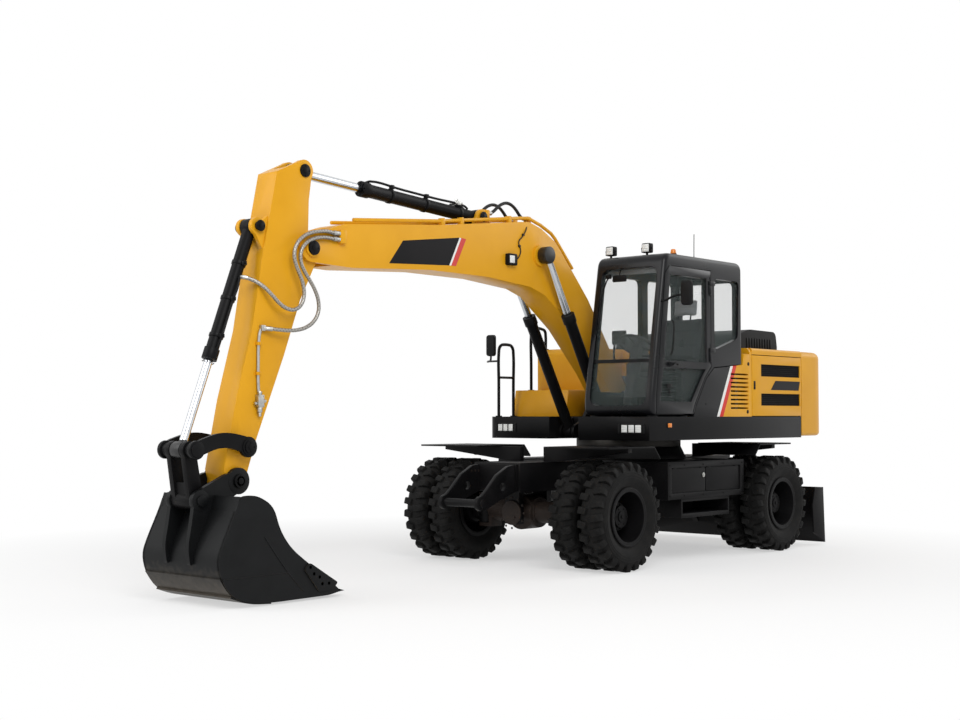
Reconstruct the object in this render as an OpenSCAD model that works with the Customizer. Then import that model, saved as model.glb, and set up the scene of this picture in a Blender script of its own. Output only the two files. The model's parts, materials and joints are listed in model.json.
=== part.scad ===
// Wheeled excavator on twin tyres, with a dozer blade at the rear and a backhoe bucket.
// Frame: +X forward, +Y to the cab side, +Z up, the ground at z = 0. Millimetres.

/* [Wheels] */
// distance between the two axles
wheelbase = 2850; // [2600:10:3100]
// tyre diameter over the lugs
tyre_d = 1030; // [980:2:1060]
// width of one tyre
tyre_w = 262; // [230:2:280]
// spacing of the twin tyres' middles
twin = 340; // [320:2:360]
// machine middle to the middle of a twin pair
track_half = 940; // [920:2:970]
// bead seat diameter of the rims
rim_d = 508; // [480:2:540]
// radius of the wheel spindles
spindle_r = 70; // [55:1:80]
// running clearance at turning fits
run_gap = 0.05; // [0.02:0.01:0.1]

/* [Undercarriage] */
// half width of the frame's front and rear beams
beam_half = 290; // [240:5:320]
// top of the frame beams
beam_top = 1010; // [980:2:1040]
// underside of the beams over the axles
beam_low = 730; // [715:1:780]
// underside of the frame's middle
belly_z = 590; // [560:5:640]
// half width of the frame's middle
belly_half = 450; // [400:5:480]
// front end of the frame
frame_front = 1900; // [1800:5:1960]
// rear end of the frame
frame_rear = 1880; // [1850:5:1960]
// radius of the axle tubes
axle_r = 105; // [80:1:120]
// radius of the differential housings
diff_r = 175; // [140:1:190]
// kingpin distance from the middle
king_y = 540; // [520:1:560]
// radius of the kingpins
king_r = 40; // [30:1:48]
// underside of the mudguard plates
guard_z = 1150; // [1110:2:1160]
// thickness of the mudguard plates
guard_t = 16; // [10:1:24]
// front end of the boxes between the wheels
box_front = 600; // [520:5:615]
// rear end of the boxes between the wheels
box_rear = 830; // [760:5:860]
// underside of the boxes
box_low = 630; // [600:5:680]
// top of the boxes
box_top = 1004; // [960:2:1008]
// outer face of the boxes
box_out = 1100; // [1000:5:1140]
// reach of the tow frame's cross tube
tow_x = 2400; // [2300:5:2440]
// height of the cross tube
tow_z = 645; // [600:5:680]
// radius of the cross tube
tow_r = 39; // [30:1:48]
// middle of each tow frame plate from the machine's middle
tow_y = 225; // [180:5:260]

/* [Blade] */
// half width of the blade
blade_half = 1220; // [1150:5:1240]
// height of the blade
blade_h = 620; // [560:5:680]
// gap below the blade at rest
blade_gap = 34; // [20:1:80]
// rearmost reach of the blade's edge
blade_x = 2390; // [2360:2:2440]
// distance of the blade arms from the middle
blade_arm_y = 420; // [380:5:460]
// distance of the blade cylinders from the middle
blade_cyl_y = 200; // [160:5:240]

/* [Slewing upper] */
// slewing axis behind the wheelbase middle
slew_back = 280; // [240:5:320]
// outer radius of the slewing ring
ring_r = 560; // [500:5:620]
// underside of the platform
skirt_z = 1221; // [1200:1:1240]
// top of the platform deck
deck_z = 1452; // [1420:2:1480]
// half width of the upper structure
upper_half = 1200; // [1160:2:1220]
// front of the platform below the cab
front_left = 1060; // [1030:5:1100]
// front of the platform on the tank side
front_right = 660; // [600:5:700]
// half width of the open bay for the boom
bay_half = 345; // [335:1:352]
// front of the platform's middle in the bay
bay_x = 470; // [450:2:500]
// rear end of the platform
platform_rear = 1890; // [1880:1:1892]
// top of the hood and counterweight
hood_z = 2178; // [2120:2:2220]
// seam at the front of the engine bay
hood_front = 837; // [800:2:880]
// front face of the counterweight
weight_front = 1905; // [1895:2:1960]
// rearmost point of the counterweight
weight_rear = 2480; // [2420:5:2520]
// thickness of doors and side panels
panel_t = 50; // [36:1:70]
// gap around doors and lids
door_gap = 8; // [6:1:14]

/* [Cab] */
// inner side of the cab
cab_in = 368; // [362:1:400]
// front of the cab at its floor
cab_front = 1010; // [980:5:1020]
// rear of the cab
cab_rear = 657; // [600:5:700]
// top of the cab roof
cab_top = 3060; // [2980:5:3120]
// thickness of the cab walls and posts
cab_t = 60; // [50:1:80]
// thickness of the glass
glass_t = 10; // [8:1:12]
// rear edge of the cab door
door_rear = 40; // [20:2:80]

/* [Boom] */
// boom foot pin, forward of the wheelbase middle
foot_x = 20; // [0:2:40]
// boom foot pin height
foot_z = 1610; // [1590:2:1640]
// boom length from foot pin to arm pin
boom_l = 4592; // [4500:4:4700]
// angle of the line from foot pin to arm pin at rest
boom_a = 15.72; // [15.4:0.02:16.4]
// half width of the boom
boom_half = 160; // [140:1:162]
// half width of the arm
arm_half = 120; // [100:1:122]
// arm length from arm pin to bucket pin
arm_l = 2049; // [1960:2:2060]
// angle of the arm's line below level at rest
arm_a = 68.3; // [67.8:0.05:68.9]
// radius of the main pins
pin_r = 42; // [34:1:46]
// distance of the boom cylinders from the middle
lift_y = 250; // [245:1:256]
// barrel radius of the boom cylinders
lift_r = 58; // [48:1:60]
// barrel radius of the arm cylinder
crowd_r = 60; // [50:1:64]
// barrel radius of the bucket cylinder
curl_r = 52; // [44:1:54]
// rod travel that the arm cylinder can still draw in
crowd_in = 520; // [500:5:540]
// rod travel that the bucket cylinder can still draw in
curl_in = 530; // [515:5:550]

/* [Bucket] */
// half width of the bucket
bucket_half = 480; // [440:2:500]
// thickness of the bucket's side plates
cheek_t = 26; // [18:1:34]
// thickness of the bucket's shell
shell_t = 24; // [16:1:30]
// number of teeth on the lip
teeth = 5; // [4:1:6]

/* [Hidden] */
$fn = 48;

wheel_z = tyre_d / 2;
axle_x = wheelbase / 2;
seat_gap = 0.3;
slew_x = -slew_back;
ring_top = skirt_z - 6;
ring_low = ring_top - 80;
tyre_r = tyre_d / 2;
rim_r = rim_d / 2;
rim_half = tyre_w * 0.38;
hub_r = spindle_r + 62;

// main pins of the digging gear, as [x, z]
function rot2(v, a) = [v[0] * cos(a) - v[1] * sin(a), v[0] * sin(a) + v[1] * cos(a)];
foot_p = [foot_x, foot_z];
tip_p = foot_p + rot2([boom_l, 0], boom_a);
function on_boom(s, h) = foot_p + rot2([s * boom_l / 4592, h], boom_a);
function on_arm(s, n) = tip_p + rot2([s * arm_l / 2049, n], -arm_a);
lift_rod_p = on_boom(1755, 994);
lift_base_p = [foot_x + 400, foot_z - 310];
crowd_base_p = on_boom(2598, 1077);
crowd_rod_p = on_arm(-582, 282);
curl_base_p = on_arm(66, 540);
rocker_p = on_arm(1777, 36);
bucket_p = on_arm(2049, 0);
curl_rod_p = on_arm(1980, 499);
link_p = on_arm(2315, 292);
lift_l = norm(lift_rod_p - lift_base_p);
crowd_l = norm(crowd_rod_p - crowd_base_p);
curl_l = norm(curl_rod_p - curl_base_p);
lift_barrel = 1360;
crowd_barrel = 1513;
curl_barrel = 1160;

// rear blade pins, as [x, z]
blade_pivot_p = [-(frame_rear + 76), 600];
blade_base_p = [-(frame_rear + 50), 900];
blade_rod_p = [-(blade_x - 200), blade_gap + 400];
blade_cyl_l = norm(blade_rod_p - blade_base_p);

// middle of the whole machine's length, which stands at the origin
reach_front = curl_rod_p[0] + 75;
mid_x = (reach_front - weight_rear) / 2;

yellow = [0.93, 0.63, 0.05];
black = [0.07, 0.07, 0.08];
steel = [0.75, 0.76, 0.78];
rubber = [0.03, 0.03, 0.03];
grey = [0.45, 0.45, 0.46];

module put() { translate([-mid_x, 0, 0]) children(); }
module side(y0, y1) { translate([0, y1, 0]) rotate([90, 0, 0]) linear_extrude(y1 - y0) children(); }
module both() { children(); mirror([0, 1, 0]) children(); }
module cyl_y(p, r, y0, y1) { translate([p[0], y1, p[1]]) rotate([90, 0, 0]) cylinder(r = r, h = y1 - y0); }
module bar(p, q, r, y = 0) {
    a = atan2(q[1] - p[1], q[0] - p[0]);
    translate([p[0], y, p[1]]) rotate([0, 90 - a, 0]) cylinder(r = r, h = norm(q - p));
}
function along(p, q, d) = p + (q - p) * d / norm(q - p);
module box(x0, x1, y0, y1, z0, z1) { translate([x0, y0, z0]) cube([x1 - x0, y1 - y0, z1 - z0]); }
function unit(v) = v / norm(v);
function tangent(p, i) = unit((i == 0 ? [0, 0, 0] : unit(p[i] - p[i - 1]))
    + (i == len(p) - 1 ? [0, 0, 0] : unit(p[i + 1] - p[i])));
// round bar swept along a path; ref stands across the path's plane
module tube3(p, r, ref = [0, 1, 0], n = 10) {
    m = len(p);
    rings = [for (i = [0 : m - 1]) let (t = tangent(p, i), u = unit(cross(ref, t)), v = cross(t, u))
        for (k = [0 : n - 1]) p[i] + r * (cos(k * 360 / n) * u + sin(k * 360 / n) * v)];
    walls = [for (i = [0 : m - 2], k = [0 : n - 1], h = [0, 1]) h == 0
        ? [i * n + k, (i + 1) * n + k, (i + 1) * n + (k + 1) % n]
        : [i * n + k, (i + 1) * n + (k + 1) % n, i * n + (k + 1) % n]];
    polyhedron(rings, concat(walls, [[for (k = [0 : n - 1]) k]], [[for (k = [n - 1 : -1 : 0]) (m - 1) * n + k]]));
}

// undercarriage
module chassis_frame() {
    color(black) {
        side(-beam_half, beam_half) polygon([[-frame_rear, beam_low], [-1080, beam_low], [-900, belly_z],
            [900, belly_z], [1080, beam_low], [frame_front, beam_low], [frame_front, beam_top],
            [-frame_rear, beam_top]]);
        box(-box_rear, box_front, -belly_half, belly_half, belly_z, beam_top);
        translate([slew_x, 0, beam_top - 1]) cylinder(r1 = ring_r + 60, r2 = ring_r, h = ring_low - beam_top + 1);
        // trunnion plates of the front axle
        for (dx = [-1, 1]) {
            difference() {
                side(-90, 90) polygon([[axle_x + dx * 215 - 35, beam_low + 1], [axle_x + dx * 215 + 35, beam_low + 1],
                    [axle_x + dx * 215 + 35, wheel_z - 110], [axle_x + dx * 215 - 35, wheel_z - 110]]);
                translate([axle_x - 400, 0, wheel_z]) rotate([0, 90, 0]) cylinder(r = 60 + seat_gap, h = 800);
            }
        }
        // hinge ears of the blade arms and the blade cylinders
        both() for (s = [-1, 1]) {
            difference() {
                side(blade_arm_y + s * 60 - 18, blade_arm_y + s * 60 + 18) union() {
                    polygon([[-frame_rear + 120, 520], [blade_pivot_p[0], 530], [blade_pivot_p[0], 670],
                        [-frame_rear + 120, 760]]);
                    translate(blade_pivot_p) circle(r = 70);
                }
                cyl_y(blade_pivot_p, 30 + run_gap, 0, 900);
            }
        }
        box(-frame_rear, -frame_rear + 120, -blade_arm_y - 78, blade_arm_y + 78, 520, beam_low + 30);
        both() for (s = [-1, 1]) {
            difference() {
                side(blade_cyl_y + s * 68 - 14, blade_cyl_y + s * 68 + 14) union() {
                    polygon([[-frame_rear + 10, 820], [blade_base_p[0], 840], [blade_base_p[0], 960],
                        [-frame_rear + 10, 990]]);
                    translate(blade_base_p) circle(r = 60);
                }
                cyl_y(blade_base_p, 25 + run_gap, 0, 900);
            }
        }
    }
}
module slew_ring() {
    color(grey) translate([slew_x, 0, ring_low]) difference() {
        cylinder(r = ring_r, h = ring_top - ring_low, $fn = 72);
        translate([0, 0, -1]) cylinder(r = ring_r - 110, h = 200, $fn = 72);
    }
}
module axle_core() {
    rotate([90, 0, 0]) translate([0, 0, -1]) cylinder(r = diff_r - 25, h = 2 * 150, center = true);
    rotate([0, 90, 0]) cylinder(r = diff_r - 5, h = 240, center = true);
    rotate([0, 90, 0]) cylinder(r = 60, h = 500, center = true);
}
module front_axle() {
    color(black) translate([axle_x, 0, wheel_z]) difference() {
        union() {
            rotate([90, 0, 0]) cylinder(r = axle_r, h = 2 * (king_y - 100), center = true);
            axle_core();
            both() {
                translate([-80, king_y - 130, -165]) cube([160, 40, 330]);
                for (s = [-1, 1]) translate([0, 0, s * 147.5]) {
                    translate([-80, king_y - 95, -17.5]) cube([160, 95, 35]);
                    translate([0, king_y, -17.5]) cylinder(r = 80, h = 35);
                }
                translate([0, king_y, -150]) cylinder(r = king_r, h = 300);
            }
        }
    }
}
module knuckle() {
    color(black) difference() {
        union() {
            translate([0, king_y, -124]) cylinder(r = 84, h = 248);
            rotate([-90, 0, 0]) translate([0, 0, king_y + 20]) cylinder(r = 110, h = 75);
            rotate([-90, 0, 0]) translate([0, 0, king_y + 80]) cylinder(r = spindle_r, h = track_half - king_y + 20);
            translate([-200, king_y - 28, -40]) cube([160, 68, 40]);
        }
        translate([0, king_y, -200]) cylinder(r = king_r + run_gap, h = 400);
    }
}
module knuckle_left() { translate([axle_x, 0, wheel_z]) knuckle(); }
module knuckle_right() { translate([axle_x, 0, wheel_z]) mirror([0, 1, 0]) knuckle(); }
module rear_axle() {
    color(black) translate([-axle_x, 0, wheel_z]) {
        rotate([90, 0, 0]) cylinder(r = axle_r, h = 2 * (king_y + 60), center = true);
        rotate([90, 0, 0]) cylinder(r = spindle_r, h = 2 * (track_half + 100), center = true);
        axle_core();
        both() translate([-90, 170, 0]) cube([180, 110, beam_low - wheel_z]);
    }
}
module driveline() {
    color(grey) {
        box(-260, 180, -150, 150, belly_z - 170, belly_z);
        translate([180, 0, wheel_z]) rotate([0, 90, 0]) cylinder(r = 36, h = axle_x - 250 - 180);
        translate([-260, 0, wheel_z]) rotate([0, -90, 0]) cylinder(r = 36, h = axle_x - 250 - 260);
    }
}
module guard(x0, x1, drop) {
    side(beam_half + 130, upper_half) polygon([[x0, guard_z], [x1, guard_z], [x1 + drop, guard_z - 110],
        [x1 + drop, guard_z - 110 + guard_t], [x1, guard_z + guard_t], [x0, guard_z + guard_t]]);
    translate([(x0 + x1) / 2 - 30, 0, 0]) rotate([90, 0, 90]) linear_extrude(60) polygon([[150, beam_top],
        [beam_half, beam_top], [upper_half - 30, guard_z - 40], [upper_half - 30, guard_z + 1], [150, guard_z + 1]]);
}
module mudguards() {
    color(black) both() {
        guard(axle_x + 280, axle_x - 450, -100);
        guard(-axle_x - 230, -axle_x + 420, 100);
    }
}
module side_boxes() {
    color(black) both() difference() {
        union() {
            box(-box_rear, box_front, belly_half, box_out, box_low, box_top);
            box(-box_rear + 260, box_front - 260, belly_half, box_out - 20, box_low - 190, box_low);
        }
        box(-box_rear + 70, box_front - 70, box_out - 22, box_out + 1, box_low + 60, box_top - 60);
        box(-box_rear + 290, box_front - 290, belly_half + 200, box_out, box_low - 150, box_low - 30);
    }
}
module tow_frame() {
    color(black) {
        both() side(tow_y - 20, tow_y + 20) difference() {
            union() {
                polygon([[frame_front, beam_low + 10], [frame_front, beam_top - 15], [frame_front + 120, beam_top - 30],
                    [frame_front + 280, beam_top - 110], [frame_front + 420, beam_top - 240], [tow_x + 55, tow_z + 20],
                    [tow_x + 30, tow_z - 55], [tow_x - 60, tow_z - 60], [frame_front + 260, tow_z + 10]]);
                translate([tow_x, tow_z]) circle(r = 68);
            }
            translate([frame_front + 200, beam_low + 60]) circle(r = 40);
        }
        cyl_y([tow_x, tow_z], tow_r, -tow_y - 45, tow_y + 45);
        box(frame_front, frame_front + 30, -tow_y - 40, tow_y + 40, beam_low + 10, beam_top - 15);
    }
}

// wheels: w runs outward from the middle of the twin pair
module rims() {
    color(black) rotate([-90, 0, 0]) difference() {
        rotate_extrude($fn = 64) union() {
            translate([rim_r - 18, -twin / 2 - rim_half]) square([18 - seat_gap, twin + 2 * rim_half]);
            for (s = [-1, 1], e = [-1, 1]) translate([rim_r - 18, s * twin / 2 + e * (rim_half + 6) - 7])
                square([42, 14]);
            translate([hub_r - 20, -12]) square([rim_r - hub_r + 10, 24]);
            translate([0, -twin / 2 - 90]) square([hub_r, twin / 2 + 90 + 150]);
            translate([0, 150]) square([hub_r - 30, 40]);
        }
        translate([0, 0, -twin]) cylinder(r = spindle_r + run_gap, h = twin + 105);
    }
}
module tyre() {
    half = tyre_w / 2;
    rotate([-90, 0, 0]) rotate_extrude($fn = 64) polygon([[rim_r, -rim_half + 2], [rim_r + 30, -rim_half + 2],
        [rim_r + 60, -rim_half - 12], [rim_r + 110, -half], [tyre_r - 70, -half], [tyre_r - 20, -half + 18], [tyre_r, -half + 50],
        [tyre_r, half - 50], [tyre_r - 20, half - 18], [tyre_r - 70, half], [rim_r + 110, half],
        [rim_r + 60, rim_half + 12], [rim_r + 30, rim_half - 2], [rim_r, rim_half - 2]]);
}
module tyres() { color(rubber) for (s = [-1, 1]) translate([0, s * twin / 2, 0]) tyre(); }
module wheel_at(x, s) { translate([x, s * track_half, wheel_z]) if (s > 0) children(); else mirror([0, 1, 0]) children(); }
module rims_front_left() { wheel_at(axle_x, 1) rims(); }
module rims_front_right() { wheel_at(axle_x, -1) rims(); }
module rims_rear_left() { wheel_at(-axle_x, 1) rims(); }
module rims_rear_right() { wheel_at(-axle_x, -1) rims(); }
module tyres_front_left() { wheel_at(axle_x, 1) tyres(); }
module tyres_front_right() { wheel_at(axle_x, -1) tyres(); }
module tyres_rear_left() { wheel_at(-axle_x, 1) tyres(); }
module tyres_rear_right() { wheel_at(-axle_x, -1) tyres(); }

// dozer blade
module blade() {
    top = blade_gap + blade_h;
    color(black) difference() {
        union() {
            side(-blade_half, blade_half) polygon([[-blade_x, blade_gap], [-blade_x + 30, blade_gap],
                [-blade_x + 130, blade_gap + 170], [-blade_x + 150, blade_gap + 330], [-blade_x + 125, blade_gap + 480],
                [-blade_x + 70, top], [-blade_x + 40, top], [-blade_x + 95, blade_gap + 470],
                [-blade_x + 115, blade_gap + 330], [-blade_x + 95, blade_gap + 180]]);
            both() side(blade_half - 20, blade_half) polygon([[-blade_x + 5, blade_gap + 5], [-blade_x + 260, blade_gap + 120],
                [-blade_x + 290, blade_gap + 420], [-blade_x + 230, top], [-blade_x + 42, top]]);
            both() side(blade_arm_y - 35, blade_arm_y + 35) union() {
                polygon([blade_pivot_p + [0, 62], blade_pivot_p + [-10, -62], [-blade_x + 125, blade_gap + 150],
                    [-blade_x + 140, blade_gap + 480]]);
                translate(blade_pivot_p) circle(r = 64);
            }
            both() for (s = [-1, 1]) side(blade_cyl_y + s * 68 - 14, blade_cyl_y + s * 68 + 14) union() {
                polygon([blade_rod_p + [10, 50], blade_rod_p + [10, -50], [-blade_x + 130, blade_gap + 240],
                    [-blade_x + 120, blade_gap + 480]]);
                translate(blade_rod_p) circle(r = 50);
            }
            both() cyl_y(blade_pivot_p, 30, blade_arm_y - 90, blade_arm_y + 90);
        }
    }
}
module blade_barrels() {
    color(black) both() {
        difference() {
            union() {
                cyl_y(blade_base_p, 48, blade_cyl_y - 36, blade_cyl_y + 36);
                bar(along(blade_base_p, blade_rod_p, 30), along(blade_base_p, blade_rod_p, 330), 46, blade_cyl_y);
            }
            bar(along(blade_base_p, blade_rod_p, 90), along(blade_base_p, blade_rod_p, 340), 26 + run_gap, blade_cyl_y);
        }
        cyl_y(blade_base_p, 25, blade_cyl_y - 88, blade_cyl_y + 88);
    }
}
module blade_rods() {
    color(steel) both() {
        cyl_y(blade_rod_p, 40, blade_cyl_y - 34, blade_cyl_y + 34);
        bar(along(blade_base_p, blade_rod_p, 168), along(blade_base_p, blade_rod_p, blade_cyl_l - 20), 26, blade_cyl_y);
    }
}

// slewing platform with the ears that carry the boom and its cylinders
module platform() {
    color(black) {
        difference() {
            union() {
                box(-platform_rear, bay_x, -upper_half, upper_half, skirt_z, deck_z);
                box(bay_x - 1, front_left, bay_half, upper_half, skirt_z, deck_z);
                box(bay_x - 1, front_right - 120, -upper_half, -bay_half, skirt_z, deck_z);
                box(bay_x - 1, front_right, -upper_half + 120, -bay_half, skirt_z, deck_z);
                translate([front_right - 120, -upper_half + 120, skirt_z]) cylinder(r = 120, h = deck_z - skirt_z);
            }
            box(bay_x - 190, bay_x + 900, -bay_half, bay_half, skirt_z - 1, deck_z + 1);
        }
        both() translate([-weight_front + hinge_in, upper_half - 16, deck_z - 1]) cylinder(r = hinge_r, h = 151);
        translate([slew_x, 0, skirt_z - 60]) cylinder(r = ring_r - 110 - seat_gap, h = 61, $fn = 72);
        both() difference() {
            union() {
                side(166, 206) union() {
                    polygon([[foot_x - 420, deck_z - 1], [foot_x + 250, deck_z - 1], [foot_x + 105, foot_z + 60],
                        [foot_x - 105, foot_z + 70]]);
                    translate(foot_p) circle(r = 120);
                }
                for (y = [[150, 186], [314, bay_half + 1]]) side(y[0], y[1]) union() {
                    polygon([[bay_x - 200, deck_z], [bay_x - 200, skirt_z + 20], lift_base_p + [0, -75],
                        lift_base_p + [0, 75]]);
                    translate(lift_base_p) circle(r = 75);
                }
                box(bay_x - 230, bay_x - 188, 140, bay_half, skirt_z + 1, deck_z - 1);
            }
            cyl_y(foot_p, pin_r + 10 + run_gap, 0, 400);
            cyl_y(lift_base_p, pin_r - 4 + run_gap, 0, 400);
        }
    }
}
module counterweight() {
    r = 240;
    color(yellow) difference() {
        union() {
            box(-weight_rear + r, -weight_front, -upper_half, upper_half, skirt_z + 16, hood_z);
            box(-weight_rear, -weight_front, -upper_half + r, upper_half - r, skirt_z + 16, hood_z);
            both() translate([-weight_rear + r, upper_half - r, skirt_z + 16]) cylinder(r = r, h = hood_z - skirt_z - 16);
        }
        both() translate([-weight_front - 180, 420, hood_z - 80]) cylinder(r = 18, h = 90);
    }
}
module engine() { color(grey) box(-weight_front + 150, -hood_front - 160, -700, 700, deck_z, hood_z - 160); }
module hood_frame() {
    color(yellow) {
        both() box(-weight_front, -hood_front, 905, upper_half, hood_z - 68, hood_z);
        both() translate([-weight_front + hinge_in, upper_half - 16, panel_top - 150]) cylinder(r = hinge_r, h = 151);
        box(-hood_front, -hood_front + 40, -upper_half + 2, upper_half - 2, deck_z, hood_z);
        // hinge lugs and pins of the bonnet
        both() {
            for (y = [lid_y - 20, lid_y + 122]) side(y, y + 18) union() {
                polygon([lid_axis + [22, -22], lid_axis + [54, -22], lid_axis + [4, 13], lid_axis + [10, -9]]);
                translate(lid_axis) circle(r = 14);
            }
            cyl_y(lid_axis, hinge_r, lid_y - 10, lid_y + 130);
        }
    }
}
panel_top = hood_z - 68;
lid_axis = [-hood_front - 20, hood_z + 20];
lid_y = 400;
mirror_in = upper_half + 240;
hinge_in = door_gap + 20;
hinge_r = 8;
module left_panel() {
    color(yellow) difference() {
        side(upper_half - panel_t, upper_half) polygon([[-hood_front + 40, deck_z], [280, deck_z], [235, 1560],
            [50, 1830], [-100, 1945], [-cab_rear, 1995], [-cab_rear - 20, panel_top], [-hood_front + 40, panel_top]]);
        for (i = [0 : 8]) box(-hood_front + 70, -420, upper_half - panel_t - 1, upper_half + 1, deck_z + 80 + i * 44,
            deck_z + 98 + i * 44);
    }
}
module service_door(grilles) {
    color(yellow) difference() {
        box(-weight_front + door_gap + 4, -hood_front - door_gap, upper_half - panel_t, upper_half, deck_z + door_gap,
            panel_top - door_gap);
        for (z = grilles) box(-1870, -1030, upper_half - panel_t - 1, upper_half + 1, z, z + 130);
        door_pivots(hinge_r + run_gap, 170);
    }
    color(black) for (z = grilles, i = [0 : 20]) box(-1866 + i * 41.5, -1852 + i * 41.5, upper_half - 36, upper_half - 20,
        z - 0.5, z + 130.5);
}
module door_pivots(r, h) {
    translate([-weight_front + hinge_in, upper_half - 16, deck_z]) cylinder(r = r, h = h);
    translate([-weight_front + hinge_in, upper_half - 16, panel_top - h]) cylinder(r = r, h = h);
}
module service_door_left() { service_door([1569, 1881]); }
module service_door_right() { mirror([0, 1, 0]) service_door([1569, 1881]); }
module bonnet() {
    color(yellow) difference() {
        union() {
            box(-weight_front + 10, -hood_front - door_gap - 6, -897, 897, hood_z - 60, hood_z);
            both() side(lid_y, lid_y + 120) union() {
                translate(lid_axis) circle(r = 15);
                translate([lid_axis[0] - 15, hood_z - 2]) square([24, lid_axis[1] - hood_z + 2]);
            }
        }
        box(-weight_front + 50, -hood_front - door_gap - 46, -857, 857, hood_z - 61, hood_z - 16);
        both() cyl_y(lid_axis, hinge_r + run_gap, lid_y - 1, lid_y + 121);
    }
}
module bonnet_grille() {
    color(black) difference() {
        side(-820, 820) polygon([[-1870, hood_z], [-1150, hood_z], [-1230, hood_z + 150], [-1330, hood_z + 220],
            [-1760, hood_z + 240], [-1850, hood_z + 190]]);
        for (i = [0 : 9]) box(-1900, -1100, -760 + i * 160, -720 + i * 160, hood_z + 170, hood_z + 400);
    }
}
module fuel_tank() { color(yellow) side(-upper_half, -450) polygon([[-hood_front + 42, deck_z], [-200, deck_z], [-200, 2150],
    [-260, 2210], [-hood_front + 42, 2210]]); }
module tool_box() { color(yellow) side(-upper_half, -450) polygon([[-198, deck_z], [240, deck_z], [190, 1742], [-198, 1742]]); }
module valve_block() { color(black) box(-hood_front + 42, -420, -400, 330, deck_z, 1900); }
module handrails() {
    color(black) {
        tube3([[520, -1160, deck_z], [520, -1160, 2200], [480, -1160, 2240], [310, -1160, 2240], [272, -1160, 2200],
            [272, -1160, deck_z]], 17);
        tube3([[520, -1160, 1870], [272, -1160, 1870]], 14);
        tube3([[-40, -1160, 1742], [-40, -1160, 2400], [-80, -1160, 2440], [-260, -1160, 2440], [-300, -1160, 2400],
            [-300, -1160, 2210]], 17);
        tube3([[330, -1160, 2238], [300, -1300, 2250], [260, -1420, 2250], [260, -mirror_in, 2250]], 11, [0, 0, 1]);
        tube3([[836, upper_half, 2580], [836, upper_half + 40, 2580], [852, upper_half + 120, 2606], [860, mirror_in - 30, 2620],
            [860, mirror_in, 2620]], 11, [0, 0, 1]);
    }
}
module mirrors() {
    color(black) {
        box(240, 280, -mirror_in - 120, -mirror_in, 2130, 2370);
        box(840, 880, mirror_in, mirror_in + 120, 2520, 2760);
    }
}

// cab
function cab_side(g) = [[cab_front - g, deck_z + 8 + g], [cab_front - g, 1640], [770 - g, cab_top - 60 - g],
    [710 - g, cab_top - g], [-cab_rear + 60 + g, cab_top - g], [-cab_rear + g, cab_top - 70 - g],
    [-cab_rear + g, deck_z + 8 + g]];
door_pts = [[cab_front - 75, deck_z + 30], [cab_front - 75, 1655], [772, 2860], [700, 2930], [-door_rear, 2930],
    [-door_rear, 1960], [75, 1855], [265, 1580], [308, deck_z + 30]];
function toward(p, c, d) = p + (c - p) * d / norm(c - p);
hinge_zs = [2010, 2690];
door_axis = [-door_rear + 16, upper_half + 2];
module door_hole(d) { offset(delta = d) polygon(door_pts); }
front_a = atan2(cab_top - 60 - 1640, 770 - cab_front);
module cab_frame() {
    color(black) difference() {
        side(cab_in, upper_half) polygon(cab_side(0));
        side(cab_in + cab_t, upper_half - cab_t) polygon(cab_side(cab_t));
        // space of the side panel behind the door, and the door way
        side(upper_half - cab_t - 1, upper_half + 1) polygon([[-cab_rear - 10, deck_z - 10], [290, deck_z - 10],
            [244, 1566], [57, 1838], [-96, 1954], [-cab_rear - 10, 2003]]);
        side(upper_half - cab_t - 1, upper_half + 1) door_hole(door_gap);
        // rear quarter window, right windows, front and rear windows, roof hatch
        side(upper_half - cab_t - 1, upper_half + 1) polygon([[-110, 2860], [-110, 2130], [-560, 2260], [-590, 2860]]);
        side(cab_in - 1, cab_in + cab_t + 1) polygon([[880, 1700], [700, 2880], [60, 2880], [60, 1900], [300, 1700]]);
        side(cab_in - 1, cab_in + cab_t + 1) polygon([[-40, 2880], [-40, 2100], [-560, 2150], [-560, 2880]]);
        box(500, 1200, cab_in + 80, upper_half - 80, 1560, 2930);
        box(-800, -500, cab_in + 90, upper_half - 90, 2200, 2860);
        box(-200, 380, cab_in + 160, upper_half - 160, cab_top - 100, cab_top + 10);
    }
    color(black) {
        // hinge lugs and pins of the door
        for (z = hinge_zs) {
            translate([door_axis[0], door_axis[1], z + 96]) cylinder(r = 16, h = 40);
            translate([door_axis[0], door_axis[1], z - 8]) cylinder(r = hinge_r, h = 110);
            box(-105, door_axis[0], upper_half + 1, upper_half + 16, z + 96, z + 136);
            box(-105, -door_rear - door_gap - 1, upper_half - 10, upper_half + 5, z + 96, z + 136);
        }
        // feet on the deck
        for (x = [380, 900], y = [cab_in + 80, upper_half - 80]) translate([x, y, deck_z]) cylinder(r = 55, h = 10);
    }
}
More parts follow.
